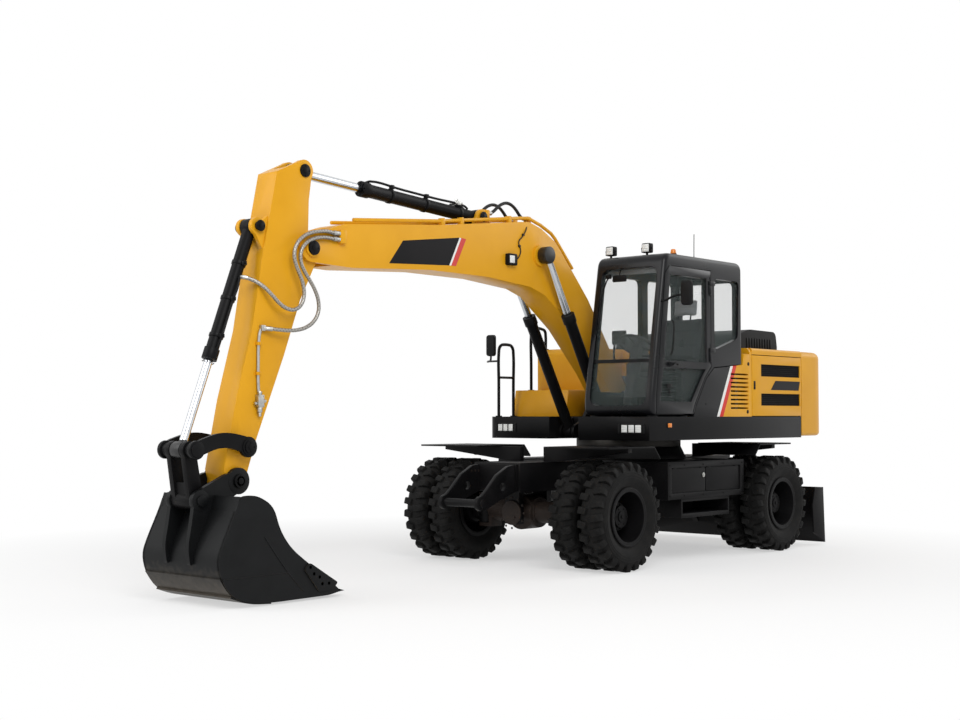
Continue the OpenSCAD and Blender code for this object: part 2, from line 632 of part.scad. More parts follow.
module cab_glass() {
    color([0.5, 0.6, 0.65, 0.4]) {
        intersection() {
            side(cab_in + 80.5, upper_half - 80.5) polygon([[cab_front - 24, 1560.5], [cab_front - 24, 1640],
                [760 - 8, 2930], [760 - 8 - glass_t, 2930], [cab_front - 24 - glass_t, 1640], [cab_front - 24 - glass_t, 1560.5]]);
            box(0, 1200, 0, 1300, 1560.5, 2929.5);
        }
        side(upper_half - 30, upper_half - 30 + glass_t) polygon([[-110.5, 2859.5], [-110.5, 2131], [-559.5, 2261], [-589, 2859.5]]);
        side(cab_in + 20, cab_in + 20 + glass_t) polygon([[879, 1700.5], [699, 2879.5], [60.5, 2879.5], [60.5, 1900.5], [300.5, 1700.5]]);
        side(cab_in + 20, cab_in + 20 + glass_t) polygon([[-40.5, 2879.5], [-40.5, 2100.5], [-559.5, 2151], [-559.5, 2879.5]]);
        box(-cab_rear + 25, -cab_rear + 25 + glass_t, cab_in + 90.5, upper_half - 90.5, 2200.5, 2859.5);
        box(-199.5, 379.5, cab_in + 160.5, upper_half - 160.5, cab_top - 35, cab_top - 35 + glass_t);
    }
}
module cab_door() {
    color(black) difference() {
        union() {
            difference() {
                side(upper_half - cab_t, upper_half) polygon(door_pts);
                side(upper_half - cab_t - 1, upper_half + 1) polygon([[800, 2000], [690, 2850], [40, 2850], [40, 2000]]);
                side(upper_half - cab_t - 1, upper_half + 1) polygon([[870, 1600], [815, 1930], [60, 1930], [130, 1860],
                    [330, 1600]]);
            }
            for (z = hinge_zs) translate([door_axis[0], door_axis[1], z]) cylinder(r = 16, h = 90);
            box(660, 720, upper_half - 1, upper_half + 30, 1945, 1985);
        }
        for (z = hinge_zs) {
            translate([door_axis[0], door_axis[1], z - 20]) cylinder(r = hinge_r + run_gap, h = 200);
            box(-door_rear - 1, door_axis[0] + 22, upper_half - 24, upper_half + 40, z + 91, z + 141);
        }
    }
}
module door_glass() {
    color([0.5, 0.6, 0.65, 0.4]) {
        side(upper_half - 30, upper_half - 30 + glass_t) polygon([[799.5, 2000.5], [689.5, 2849.5], [40.5, 2849.5], [40.5, 2000.5]]);
        side(upper_half - 30, upper_half - 30 + glass_t) polygon([[869, 1600.5], [814.5, 1929.5], [61, 1929.5], [130.5, 1860.5],
            [330.5, 1600.5]]);
    }
}
seat_y = (cab_in + upper_half) / 2;
module cab_seat() {
    color(grey) {
        box(-60, 300, seat_y - 180, seat_y + 180, deck_z + 68, 1900);
        box(-100, 420, seat_y - 250, seat_y + 250, 1900, 2010);
        side(seat_y - 240, seat_y + 240) polygon([[-40, 2009], [-200, 2680], [-290, 2680], [-160, 2009]]);
    }
}
module cab_controls() {
    color(black) {
        side(seat_y - 50, seat_y + 50) polygon([[760, deck_z + 68], [860, deck_z + 68], [700, 2180], [640, 2150]]);
        translate([668, seat_y, 2160]) rotate([0, -32, 0]) rotate_extrude($fn = 32) translate([180, 0]) circle(r = 16, $fn = 12);
        translate([668, seat_y, 2160]) rotate([0, -32, 0]) for (a = [0, 120, 240]) rotate([0, 0, a]) translate([0, -12, -8]) cube([182, 24, 16]);
        translate([668, seat_y, 2160]) rotate([0, -32, 0]) translate([0, 0, -30]) cylinder(r = 45, h = 45);
        both_consoles();
    }
}
module both_consoles() {
    for (s = [-1, 1]) translate([0, seat_y + s * 300, 0]) {
        translate([0, -35, deck_z + 68]) cube([380, 70, 480]);
    }
}
module lamps() {
    color(steel) {
        for (y = [cab_in + 120, upper_half - 120]) translate([560, y - 60, cab_top]) cube([90, 120, 120]);
        translate([-420, cab_in + 160, cab_top]) cylinder(r = 60, h = 130);
        box(front_left, front_left + 14, 880, 1080, 1270, 1400);
        box(front_right, front_right + 14, -1040, -840, 1300, 1420);
    }
}

// boom, arm and their cylinders
module boom_shape() {
    polygon([for (p = [[60, -112], [474, 169], [1044, 470], [1571, 646], [1800, 650], [2429, 528], [3199, 316],
        [4117, -1], [4560, -112], [4640, 105], [4297, 331], [3187, 759], [2126, 1207], [1997, 1258], [1800, 1262],
        [1542, 1212], [1116, 970], [886, 834], [-70, 105]]) on_boom(p[0], p[1])]);
    translate(foot_p) circle(r = 125);
    translate(tip_p) circle(r = 115);
}
module boom() {
    slot = 275;
    color(yellow) difference() {
        union() {
            side(-boom_half, boom_half) boom_shape();
            // round bosses for the lift cylinders
            both() cyl_y(lift_rod_p, 105, boom_half - 1, lift_y - 62);
            both() cyl_y(lift_rod_p, pin_r + 18, boom_half - 1, lift_y - 52);
            // ears of the arm cylinder
            both() side(68, 104) union() {
                polygon([crowd_base_p + [-170, -190], crowd_base_p + [200, -230], crowd_base_p + [60, 40],
                    crowd_base_p + [-60, 40]]);
                translate(crowd_base_p) circle(r = 75);
            }
            both() cyl_y(tip_p, 75, boom_half - 1, boom_half + 20);
        }
        // room for the arm cylinder's eye, and the fork for the arm
        cyl_y(crowd_base_p, crowd_r + 22, -66, 66);
        difference() {
            cyl_y(tip_p, slot, -arm_half - 8, arm_half + 8);
        }
        side(-arm_half - 8, arm_half + 8) polygon([on_boom(4592 - 150, -300), on_boom(5000, -300), on_boom(5000, 500),
            on_boom(4592 - 250, 500)]);
        cyl_y(tip_p, pin_r + run_gap, -400, 400);
        cyl_y(crowd_base_p, pin_r - 6 + run_gap, -200, 200);
    }
    color(black) both() cyl_y(foot_p, pin_r + 10, 0, 225);
}
module boom_pipes() {
    color(yellow) for (y = [-140, 140]) tube3([for (p = [[1200, 1062], [1542, 1254], [1620, 1284], [1800, 1302],
        [1960, 1300], [2020, 1290], [2130, 1246], [3187, 798], [4200, 409]])
        [on_boom(p[0], p[1])[0], y, on_boom(p[0], p[1])[1]]], 17);
    color(black) both() for (s = [2260, 2900, 3140]) {
        p = on_boom(s, 1207 - (s - 2126) * 0.4222);
        translate([p[0], 0, p[1]]) rotate([0, 22.89 - boom_a, 0]) translate([-25, 118, 0]) cube([50, 40, 62]);
    }
}
module cylinder_barrel(p, q, r, rod_r, reach, half, y) {
    difference() {
        union() {
            cyl_y(p, r + 14, y - half, y + half);
            bar(p, along(p, q, reach), r, y);
            bar(along(p, q, reach - 90), along(p, q, reach), r + 10, y);
        }
        bar(along(p, q, r + 40), along(p, q, reach + 10), rod_r + run_gap, y);
    }
}
module cylinder_rod(p, q, eye_r, rod_r, reach, half, y) {
    cyl_y(q, eye_r, y - half, y + half);
    bar(along(p, q, reach), along(p, q, norm(q - p) - eye_r + 15), rod_r, y);
}
module boom_barrels() {
    color(black) for (s = [-1, 1]) {
        cylinder_barrel(lift_base_p, lift_rod_p, lift_r, 38, lift_barrel, 48, s * lift_y);
        cyl_y(lift_base_p, pin_r - 4, s * lift_y - 92, s * lift_y + 92);
    }
}
module boom_rods() {
    color(steel) for (s = [-1, 1]) {
        cylinder_rod(lift_base_p, lift_rod_p, 82, 38, lift_barrel - 800, 46, s * lift_y);
        cyl_y(lift_rod_p, pin_r + 8, s * lift_y - 46, s * lift_y + 46);
    }
}
module arm_shape() {
    polygon([for (p = [[-371, 150], [-130, 60], [-75, -80], [60, -118], [440, -76], [930, -87], [1677, -74], [1990, -88],
        [2120, -50], [2120, 50], [2009, 137], [1457, 234], [879, 296], [313, 415], [-373, 535], [-430, 545], [-640, 350],
        [-665, 265], [-600, 205]]) on_arm(p[0], p[1])]);
    translate(tip_p) circle(r = 120);
    translate(bucket_p) circle(r = 92);
    translate(crowd_rod_p) circle(r = 92);
}
module arm() {
    color(yellow) difference() {
        union() {
            side(-arm_half, arm_half) arm_shape();
            both() side(62, 100) union() {
                polygon([on_arm(-140, 440), on_arm(260, 380), curl_base_p + [35, -50], curl_base_p + [-45, 45]]);
                translate(curl_base_p) circle(r = 70);
            }
        }
        // slot for the arm cylinder's eye
        cyl_y(crowd_rod_p, 190, -66, 66);
        side(-66, 66) polygon([on_arm(-900, 0), on_arm(-480, 120), on_arm(-480, 430), on_arm(-900, 700)]);
        cyl_y(curl_base_p, 92, -58, 58);
        cyl_y(curl_base_p, pin_r - 8 + run_gap, -200, 200);
        cyl_y(bucket_p, pin_r + run_gap, -300, 300);
    }
    color(black) {
        cyl_y(tip_p, pin_r, -boom_half - 30, boom_half + 30);
        cyl_y(rocker_p, pin_r, -218, 218);
    }
}
module arm_barrel() {
    color(black) {
        cylinder_barrel(crowd_base_p, crowd_rod_p, crowd_r, 40, crowd_barrel, 58, 0);
        cyl_y(crowd_base_p, pin_r - 6, -114, 114);
    }
}
module arm_rod() { color(steel) cylinder_rod(crowd_base_p, crowd_rod_p, 78, 40, crowd_r + 40 + crowd_in, 56, 0); }
module bucket_barrel() {
    color(black) {
        cylinder_barrel(curl_base_p, curl_rod_p, curl_r, 34, curl_barrel, 52, 0);
        cyl_y(curl_base_p, pin_r - 8, -125, 125);
    }
}
module bucket_rod() { color(steel) cylinder_rod(curl_base_p, curl_rod_p, 66, 34, curl_r + 40 + curl_in, 56, 0); }
module rocker_links() {
    color(black) both() difference() {
        union() {
            side(174, 204) union() {
                translate(rocker_p) circle(r = 82);
                translate(curl_rod_p) circle(r = 72);
                polygon([rocker_p + [0, 70], rocker_p + [0, -70], curl_rod_p + [0, -58], curl_rod_p + [0, 58]]);
            }
            cyl_y(curl_rod_p, pin_r + 14, 126, 216);
        }
        cyl_y(rocker_p, pin_r + run_gap, 100, 300);
    }
}
module bucket_link() {
    color(black) difference() {
        union() {
            both() side(66, 116) union() {
                translate(link_p) circle(r = 70);
                translate(curl_rod_p) circle(r = 68);
                polygon([link_p + [-64, 0], link_p + [64, 0], curl_rod_p + [56, 0], curl_rod_p + [-56, 0]]);
            }
            side(-67, 67) union() {
                translate(link_p) circle(r = 70);
                polygon([link_p + [-45, 0], link_p + [45, 0], along(link_p, curl_rod_p, 140) + [40, 0],
                    along(link_p, curl_rod_p, 140) + [-40, 0]]);
            }
        }
        cyl_y(link_p, pin_r + run_gap, -200, 200);
    }
}
function on_bucket(x, z) = bucket_p + [x - 5199, z - 951];
function bucket_back(d) = [for (p = [[4400 + d * 3, 46 + d * 0.4], [4517, 24 + d], [4836, 22 + d], [5120, 20 + d], [5330, 34 + d],
    [5513 - d * 0.6, 96 + d * 0.8], [5618 - d, 240 + d * 0.3], [5648 - d, 380], [5600 - d, 500], [5530 - d, 640 - d * 0.2],
    [5482 - d, 742 - d * 0.4]]) on_bucket(p[0], p[1])];
module bucket() {
    outer = bucket_back(0);
    inner = bucket_back(shell_t);
    color(black) difference() {
        union() {
            side(-bucket_half, bucket_half) polygon(concat(outer, [for (i = [len(inner) - 1 : -1 : 0]) inner[i]]));
            both() side(bucket_half - cheek_t, bucket_half) polygon(concat(outer, [on_bucket(5440, 850), on_bucket(5290, 850),
                on_bucket(5090, 745), on_bucket(5045, 575), on_bucket(4932, 427), on_bucket(4743, 290), on_bucket(4560, 180)]));
            // hinge ears
            both() side(126, 166) union() {
                translate(bucket_p) circle(r = 105);
                translate(link_p) circle(r = 82);
                polygon([bucket_p + [-95, -40], bucket_p + [60, 86], link_p + [50, 66], on_bucket(5600, 620),
                    on_bucket(5640, 400), on_bucket(5500, 500), on_bucket(5480, 720), on_bucket(5330, 790)]);
            }
            side(-bucket_half + 2, bucket_half - 2) polygon([on_bucket(5440, 850), on_bucket(5280, 790), on_bucket(5290, 760),
                on_bucket(5440, 705), on_bucket(5482, 735), on_bucket(5462, 790)]);
            // lip teeth
            for (i = [0 : teeth - 1]) translate([0, (i / (teeth - 1) - 0.5) * 2 * (bucket_half - 60), 0])
                side(-34, 34) polygon([on_bucket(4330, 42), on_bucket(4420, 34), on_bucket(4560, 28), on_bucket(4600, 60),
                    on_bucket(4470, 84)]);
            // side cutters
            both() side(bucket_half - 1, bucket_half + 14) polygon([on_bucket(4441, 120), on_bucket(4500, 70), on_bucket(4640, 60),
                on_bucket(4800, 250), on_bucket(4743, 300), on_bucket(4560, 190)]);
            both() cyl_y(bucket_p, pin_r, -1, 190);
            both() cyl_y(link_p, pin_r, -1, 190);
        }
    }
}

put() chassis_frame();
put() slew_ring();
put() front_axle();
put() rear_axle();
put() driveline();
put() mudguards();
put() side_boxes();
put() tow_frame();
put() knuckle_left();
put() knuckle_right();
put() rims_front_left();
put() rims_front_right();
put() rims_rear_left();
put() rims_rear_right();
put() tyres_front_left();
put() tyres_front_right();
put() tyres_rear_left();
put() tyres_rear_right();
put() blade();
put() blade_barrels();
put() blade_rods();
put() platform();
put() counterweight();
put() engine();
put() hood_frame();
put() left_panel();
put() fuel_tank();
put() tool_box();
put() valve_block();
put() handrails();
put() mirrors();
put() cab_frame();
put() cab_glass();
put() cab_seat();
put() cab_controls();
put() lamps();
put() cab_door();
put() door_glass();
put() bonnet();
put() bonnet_grille();
put() service_door_left();
put() service_door_right();
put() boom();
put() boom_pipes();
put() boom_barrels();
put() boom_rods();
put() arm();
put() arm_barrel();
put() arm_rod();
put() bucket_barrel();
put() bucket_rod();
put() rocker_links();
put() bucket_link();
put() bucket();
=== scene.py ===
import json
import math
import bpy
import bmesh
from mathutils import Matrix, Vector


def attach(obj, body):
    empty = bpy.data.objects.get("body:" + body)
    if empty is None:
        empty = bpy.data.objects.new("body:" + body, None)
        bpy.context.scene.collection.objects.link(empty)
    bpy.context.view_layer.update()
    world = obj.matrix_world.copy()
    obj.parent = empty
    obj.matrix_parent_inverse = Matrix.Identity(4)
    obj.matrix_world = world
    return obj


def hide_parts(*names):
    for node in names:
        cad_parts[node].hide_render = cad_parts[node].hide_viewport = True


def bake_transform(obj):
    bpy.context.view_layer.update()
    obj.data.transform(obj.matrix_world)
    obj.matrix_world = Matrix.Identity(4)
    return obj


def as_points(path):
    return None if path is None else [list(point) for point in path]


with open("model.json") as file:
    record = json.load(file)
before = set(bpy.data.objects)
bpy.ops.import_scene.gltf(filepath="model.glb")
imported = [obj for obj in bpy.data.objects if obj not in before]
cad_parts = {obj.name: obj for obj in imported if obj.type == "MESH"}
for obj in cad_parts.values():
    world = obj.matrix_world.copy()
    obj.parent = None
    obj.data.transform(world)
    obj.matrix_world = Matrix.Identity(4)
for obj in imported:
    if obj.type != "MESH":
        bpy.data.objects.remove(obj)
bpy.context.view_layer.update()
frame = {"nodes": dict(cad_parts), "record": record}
nodes = frame["nodes"]
scene = bpy.context.scene
midX = 1.6154911  # the machine's own numbers start between the axles, the frame at mid length


def at(x, y, z):
    # machine millimetres to the frame's metres
    return Vector((x / 1000 - midX, y / 1000, z / 1000))


# camera at the photo's view
cameraSet = {"place": (12356.3, 8994.8, 1466), "yaw": -2.4193, "pitch": 0.0388, "lens": 53.39}
camData = bpy.data.cameras.new("photoCamera")
camData.lens = cameraSet["lens"]
camData.sensor_width = 36
camData.clip_end = 200
cam = bpy.data.objects.new("photoCamera", camData)
scene.collection.objects.link(cam)
cam.location = at(*cameraSet["place"])
look = Vector((math.cos(cameraSet["yaw"]) * math.cos(cameraSet["pitch"]),
               math.sin(cameraSet["yaw"]) * math.cos(cameraSet["pitch"]), math.sin(cameraSet["pitch"])))
cam.rotation_euler = look.to_track_quat("-Z", "Y").to_euler()
scene.camera = cam
scene.view_settings.view_transform = "Standard"
print("camera set")


# materials
def linear(hexText):
    parts = [int(hexText[i:i + 2], 16) / 255 for i in (1, 3, 5)]
    return [p / 12.92 if p <= 0.04045 else ((p + 0.055) / 1.055) ** 2.4 for p in parts] + [1.0]


def addNode(tree, kind, settings=None, links=None):
    # settings go on the node or its inputs, links feed inputs from other nodes' outputs
    n = tree.nodes.new(kind)
    for key, value in (settings or {}).items():
        if isinstance(key, str) and hasattr(n, key):
            setattr(n, key, value)
        else:
            n.inputs[key].default_value = value
    for key, source in (links or {}).items():
        tree.links.new(source, n.inputs[key])
    return n


def newMaterial(name):
    # the material, its tree, its shader and the place on the object
    mat = bpy.data.materials.new(name)
    mat.use_nodes = True
    tree = mat.node_tree
    where = addNode(tree, "ShaderNodeTexCoord").outputs["Object"]
    return mat, tree, tree.nodes["Principled BSDF"], where


def setRamp(ramp, stops, kind="LINEAR"):
    # stops are pairs of place and colour
    ramp.interpolation = kind
    while len(ramp.elements) < len(stops):
        ramp.elements.new(0.5)
    for element, (place, hexText) in zip(ramp.elements, stops):
        element.position = place
        element.color = linear(hexText)


def noiseAt(tree, where, size, detail):
    # size is the width of a patch in millimetres
    noise = addNode(tree, "ShaderNodeTexNoise", {"Scale": 1000 / size, "Detail": detail}, {"Vector": where})
    return noise.outputs["Fac"]


def toneOf(tree, value, stops, kind="LINEAR"):
    # colours picked along a value
    tone = addNode(tree, "ShaderNodeValToRGB", None, {"Fac": value})
    setRamp(tone.color_ramp, stops, kind)
    return tone.outputs["Color"]


def rangeOf(tree, value, settings):
    return addNode(tree, "ShaderNodeMapRange", settings, {"Value": value}).outputs["Result"]


def mathOf(tree, operation, first, second):
    return addNode(tree, "ShaderNodeMath", {"operation": operation}, {0: first, 1: second}).outputs["Value"]


def bumpBy(tree, shader, height, strength):
    bump = addNode(tree, "ShaderNodeBump", {"Strength": strength, "Distance": 0.002}, {"Height": height})
    tree.links.new(bump.outputs["Normal"], shader.inputs["Normal"])


def grainBump(tree, shader, where, size, strength):
    bumpBy(tree, shader, noiseAt(tree, where, size, 4.0), strength)


def enamel(name, hexA, hexB, rough, coat, patch=420, peel=26, peelStrength=0.03, stripe=None, wear=None,
           gloss=0.5):
    # sprayed enamel: even colour with a faint tone drift, orange peel and a clear gloss
    mat, tree, shader, where = newMaterial(name)
    drift = noiseAt(tree, where, patch, 3.0)
    colour = toneOf(tree, drift, [(0.3, hexA), (0.75, hexB)])
    if stripe:
        # bands across a slanted line: the distance from it picks the band
        far = addNode(tree, "ShaderNodeVectorMath", {"operation": "DOT_PRODUCT", 1: stripe["across"]},
                      {0: where})
        place = rangeOf(tree, far.outputs["Value"], {"From Min": stripe["from"], "From Max": stripe["to"]})
        bands = toneOf(tree, place, stripe["bands"], "CONSTANT")
        ahead = addNode(tree, "ShaderNodeMath", {"operation": "GREATER_THAN", 1: stripe["starts"]},
                        {0: place})
        mix = addNode(tree, "ShaderNodeMix", {"data_type": "RGBA"},
                      {0: ahead.outputs["Value"], 6: colour, 7: bands})
        colour = mix.outputs[2]
    if wear:
        # rubbed steel low down, broken up by scratches
        high = addNode(tree, "ShaderNodeSeparateXYZ", None, {"Vector": where}).outputs["Z"]
        level = addNode(tree, "ShaderNodeMath", {"operation": "MULTIPLY_ADD", 1: wear["spread"]},
                        {0: noiseAt(tree, where, wear["patch"], 6.0), 2: high})
        rub = rangeOf(tree, level.outputs["Value"], {"From Min": wear["none"], "From Max": wear["full"]})
        # the cheeks keep their paint
        facing = addNode(tree, "ShaderNodeSeparateXYZ", None,
                         {"Vector": addNode(tree, "ShaderNodeTexCoord").outputs["Normal"]}).outputs["Y"]
        flank = addNode(tree, "ShaderNodeMath", {"operation": "ABSOLUTE"}, {0: facing})
        back = rangeOf(tree, flank.outputs["Value"], {"From Min": 0.7, "From Max": 0.3})
        mix = addNode(tree, "ShaderNodeMix", {"data_type": "RGBA", 7: linear(wear["hex"])},
                      {0: mathOf(tree, "MULTIPLY", rub, back), 6: colour})
        colour = mix.outputs[2]
    tree.links.new(colour, shader.inputs["Base Color"])
    shine = rangeOf(tree, drift, {"To Min": rough - 0.05, "To Max": rough + 0.07})
    tree.links.new(shine, shader.inputs["Roughness"])
    shader.inputs["Specular IOR Level"].default_value = gloss
    shader.inputs["Coat Weight"].default_value = coat
    shader.inputs["Coat Roughness"].default_value = 0.08
    grainBump(tree, shader, where, peel, peelStrength)
    return mat


# the slanted bands of the left side panel: black ahead, white and red, yellow behind
panelStripe = {"across": (0.892, 0.0, 0.451), "from": -1.06, "to": -0.86, "starts": 0.175,
               "bands": [(0.0, "#d0322a"), (0.485, "#ecece9"), (0.71, "#131315")]}
# yellow gloss of boom, arm and hood
yellowEnamel = enamel("yellowEnamel", "#d99b14", "#e1a31c", 0.36, 0.04, gloss=0.22)
stripedEnamel = enamel("stripedEnamel", "#d99b14", "#e1a31c", 0.36, 0.04, stripe=panelStripe, gloss=0.22)
# black gloss of rails, cab and chassis, duller downwards
blackEnamel = enamel("blackEnamel", "#0d0d0e", "#131314", 0.36, 0.0, gloss=0.1)
cabEnamel = enamel("cabEnamel", "#0e0f11", "#151518", 0.28, 0.0, gloss=0.22)
frameEnamel = enamel("frameEnamel", "#0b0b0c", "#121112", 0.44, 0.0, 300, 14, 0.06, gloss=0.1)
# digging steel under worn black paint
bucketEnamel = enamel("bucketEnamel", "#0e0f10", "#151617", 0.42, 0.0, 200, 18, 0.06, gloss=0.14,
                      wear={"patch": 60, "spread": 0.22, "none": 0.42, "full": 0.2, "hex": "#4d473f"})
# brown primer of the axles, stick-on films of the panels
axleEnamel = enamel("axleEnamel", "#231c19", "#2f2824", 0.5, 0.0, 160, 8, 0.1, gloss=0.15)
whiteFilm = enamel("whiteFilm", "#e4e4e1", "#eaeae7", 0.3, 0.2)
redFilm = enamel("redFilm", "#c42a22", "#d0322a", 0.3, 0.1)
darkFilm = enamel("darkFilm", "#100f11", "#161416", 0.3, 0.0, gloss=0.12)


def metal(name, hexA, hexB, roughA, roughB, patch, pit=0.0, eye=None):
    # worked steel: mirror to dull by how it was finished, faint smears of oil, its eye painted
    mat, tree, shader, where = newMaterial(name)
    smear = noiseAt(tree, where, patch, 5.0)
    colour = toneOf(tree, smear, [(0.25, hexA), (0.8, hexB)])
    gloss = rangeOf(tree, smear, {"To Min": roughA, "To Max": roughB})
    shader.inputs["Metallic"].default_value = 1.0
    if eye:
        # paint within the eye's radius about its pin
        flat = addNode(tree, "ShaderNodeVectorMath", {"operation": "MULTIPLY", 1: (1.0, 0.0, 1.0)},
                       {0: where})
        pin = at(eye[0], 0, eye[1])
        away = addNode(tree, "ShaderNodeVectorMath", {"operation": "DISTANCE", 1: (pin.x, 0.0, pin.z)},
                       {0: flat.outputs["Vector"]})
        bareSteel = addNode(tree, "ShaderNodeMath", {"operation": "GREATER_THAN", 1: eye[2] / 1000},
                            {0: away.outputs["Value"]})
        mix = addNode(tree, "ShaderNodeMix", {"data_type": "RGBA", 6: linear("#101011")},
                      {0: bareSteel.outputs["Value"], 7: colour})
        colour = mix.outputs[2]
        tree.links.new(bareSteel.outputs["Value"], shader.inputs["Metallic"])
        dull = addNode(tree, "ShaderNodeMix", {"data_type": "FLOAT", 2: 0.42},
                       {0: bareSteel.outputs["Value"], 3: gloss})
        gloss = dull.outputs[0]
    tree.links.new(colour, shader.inputs["Base Color"])
    tree.links.new(gloss, shader.inputs["Roughness"])
    if pit:
        grainBump(tree, shader, where, 5, pit)
    return mat


# hard chrome on ground bar, one for each pin that its eye turns on
rodSet = {"boom_rods": (1440, 3042, 88), "arm_rod": (4487, 3499, 90), "bucket_rod": (5636, 1199, 80)}
rodFinishes = {name: metal("chromedRod_" + name, "#bfc3c8", "#d0d3d7", 0.08, 0.2, 60, 0.0, eye)
               for name, eye in rodSet.items()}
chromedRod = metal("chromedRod", "#bfc3c8", "#d0d3d7", 0.08, 0.2, 60)
zincSteel = metal("zincSteel", "#a9a9a6", "#c4c4c0", 0.28, 0.45, 30, 0.06)  # plated pipe ends and valves
castIron = metal("castIron", "#3a3937", "#4c4a47", 0.5, 0.7, 90, 0.15)  # sand cast, dull and pitted
mirrorGlass = metal("mirrorGlass", "#d6dadd", "#dfe3e6", 0.02, 0.05, 200)  # silvered behind


def tyreRubber():
    # carbon black rubber: dark, matte, with a little road dust in random patches
    mat, tree, shader, where = newMaterial("tyreRubber")
    tone = toneOf(tree, noiseAt(tree, where, 70, 6.0), [(0.35, "#101010"), (0.8, "#1b1a19")])
    tree.links.new(tone, shader.inputs["Base Color"])
    shader.inputs["Roughness"].default_value = 0.66
    shader.inputs["Specular IOR Level"].default_value = 0.12
    grainBump(tree, shader, where, 4, 0.2)
    return mat


def clear(name, hexText, rough, cover):
    # a thin pane: faint tint, light passes straight through, sharp reflections
    mat, tree, shader, where = newMaterial(name)
    shader.inputs["Base Color"].default_value = linear(hexText)
    shine = rangeOf(tree, noiseAt(tree, where, 300, 2.0), {"To Min": rough, "To Max": rough + 0.03})
    tree.links.new(shine, shader.inputs["Roughness"])
    shader.inputs["Alpha"].default_value = cover
    return mat


def moulded(name, hexA, hexB, rough, grain=3.0, strength=0.12, gloss=0.5):
    # injection moulded plastic: even colour, fine leather grain
    mat, tree, shader, where = newMaterial(name)
    tone = toneOf(tree, noiseAt(tree, where, 120, 3.0), [(0.3, hexA), (0.75, hexB)])
    tree.links.new(tone, shader.inputs["Base Color"])
    shader.inputs["Roughness"].default_value = rough
    shader.inputs["Specular IOR Level"].default_value = gloss
    grainBump(tree, shader, where, grain, strength)
    return mat


def sleeved():
    # hose in a steel braid: bright wires crossing on the slant, drawn at 11 mm so that they show
    mat, tree, shader, where = newMaterial("braidedSteel")
    heights = []
    for turn in (0.8, -0.8):
        slant = addNode(tree, "ShaderNodeMapping", {"Rotation": (0.4, turn, 0.3)}, {"Vector": where})
        wires = addNode(tree, "ShaderNodeTexWave", {"Scale": 1000 / 11 / 6.283, "Distortion": 0.4},
                        {"Vector": slant.outputs["Vector"]})
        heights.append(wires.outputs["Fac"])
    weave = mathOf(tree, "MAXIMUM", *heights)
    tone = toneOf(tree, weave, [(0.2, "#77746f"), (0.8, "#a19e98")])
    tree.links.new(tone, shader.inputs["Base Color"])
    shader.inputs["Metallic"].default_value = 0.7
    shader.inputs["Roughness"].default_value = 0.42
    bumpBy(tree, shader, weave, 0.4)
    return mat


rubberTyre = tyreRubber()
tintedGlass = clear("tintedGlass", "#6c7a77", 0.02, 0.1)  # green grey safety glass
# clear orange polycarbonate over its reflector
amberLens = moulded("amberLens", "#d9760f", "#e8861a", 0.18, 3.0, 0.03)
lampWhite = moulded("lampWhite", "#dcdedc", "#eceeec", 0.16, 6.0, 0.05)  # moulded lens over a white reflector
blackPlastic = moulded("blackPlastic", "#0d0d0e", "#141415", 0.5, gloss=0.14)  # dome, mirror shells, brackets
greyPlastic = moulded("greyPlastic", "#5a5b5d", "#66676a", 0.6)  # visor
hoseRubber = moulded("hoseRubber", "#101010", "#171716", 0.55, 5.0, 0.1, 0.3)  # bare hose and cable sheath
# woven upholstery, its weave drawn at 9 mm to show: grey black on the seat, pale on the headrest
seatCloth = moulded("seatCloth", "#1d1e20", "#292a2d", 0.9, 9.0, 0.12)
headCloth = moulded("headCloth", "#8f9194", "#a0a2a5", 0.9, 9.0, 0.12)
braidedSteel = sleeved()

finishes = {
    "yellow paint": yellowEnamel, "frame paint": frameEnamel, "bare steel": castIron,
    "tyre rubber": rubberTyre, "chrome rod": chromedRod, "window glass": tintedGlass, "seat cloth": seatCloth,
    "black plastic": blackPlastic, "lamp": blackPlastic, "bucket steel": bucketEnamel}
special = {"cab_frame": cabEnamel, "cab_door": cabEnamel, "platform": blackEnamel,
           "left_panel": stripedEnamel, "front_axle": axleEnamel, "rear_axle": axleEnamel, **rodFinishes}


# solid edges: weld the loose triangles, round the corners, shade by angle
roundSet = {"default": 5, "counterweight": 16, "hood_frame": 8, "tool_box": 10, "fuel_tank": 10, "bucket": 4,
            "cab_glass": 0, "door_glass": 0, "boom": 7, "arm": 6, "tyres": 7, "rods": 2}
softShade = bpy.data.node_groups.new("softShade", "GeometryNodeTree")
softShade.interface.new_socket("Geometry", in_out="INPUT", socket_type="NodeSocketGeometry")
softShade.interface.new_socket("Geometry", in_out="OUTPUT", socket_type="NodeSocketGeometry")
entry = addNode(softShade, "NodeGroupInput")
bare = addNode(softShade, "GeometryNodeRemoveAttribute", {"Name": "custom_normal"},
               {"Geometry": entry.outputs[0]})
angle = addNode(softShade, "GeometryNodeInputMeshEdgeAngle")
sharp = addNode(softShade, "FunctionNodeCompare", {"data_type": "FLOAT", "operation": "LESS_THAN", 1: 0.62},
                {0: angle.outputs["Unsigned Angle"]})
faces = addNode(softShade, "GeometryNodeSetShadeSmooth", {"domain": "FACE", "Shade Smooth": True},
                {"Geometry": bare.outputs["Geometry"]})
edges = addNode(softShade, "GeometryNodeSetShadeSmooth", {"domain": "EDGE"},
                {"Geometry": faces.outputs["Geometry"], "Shade Smooth": sharp.outputs["Result"]})
addNode(softShade, "NodeGroupOutput", None, {0: edges.outputs["Geometry"]})


def edgeKind(name):
    # which entry of roundSet a solid's edges follow
    if name.startswith("tyres"):
        return "tyres"
    return "rods" if "rod" in name else name


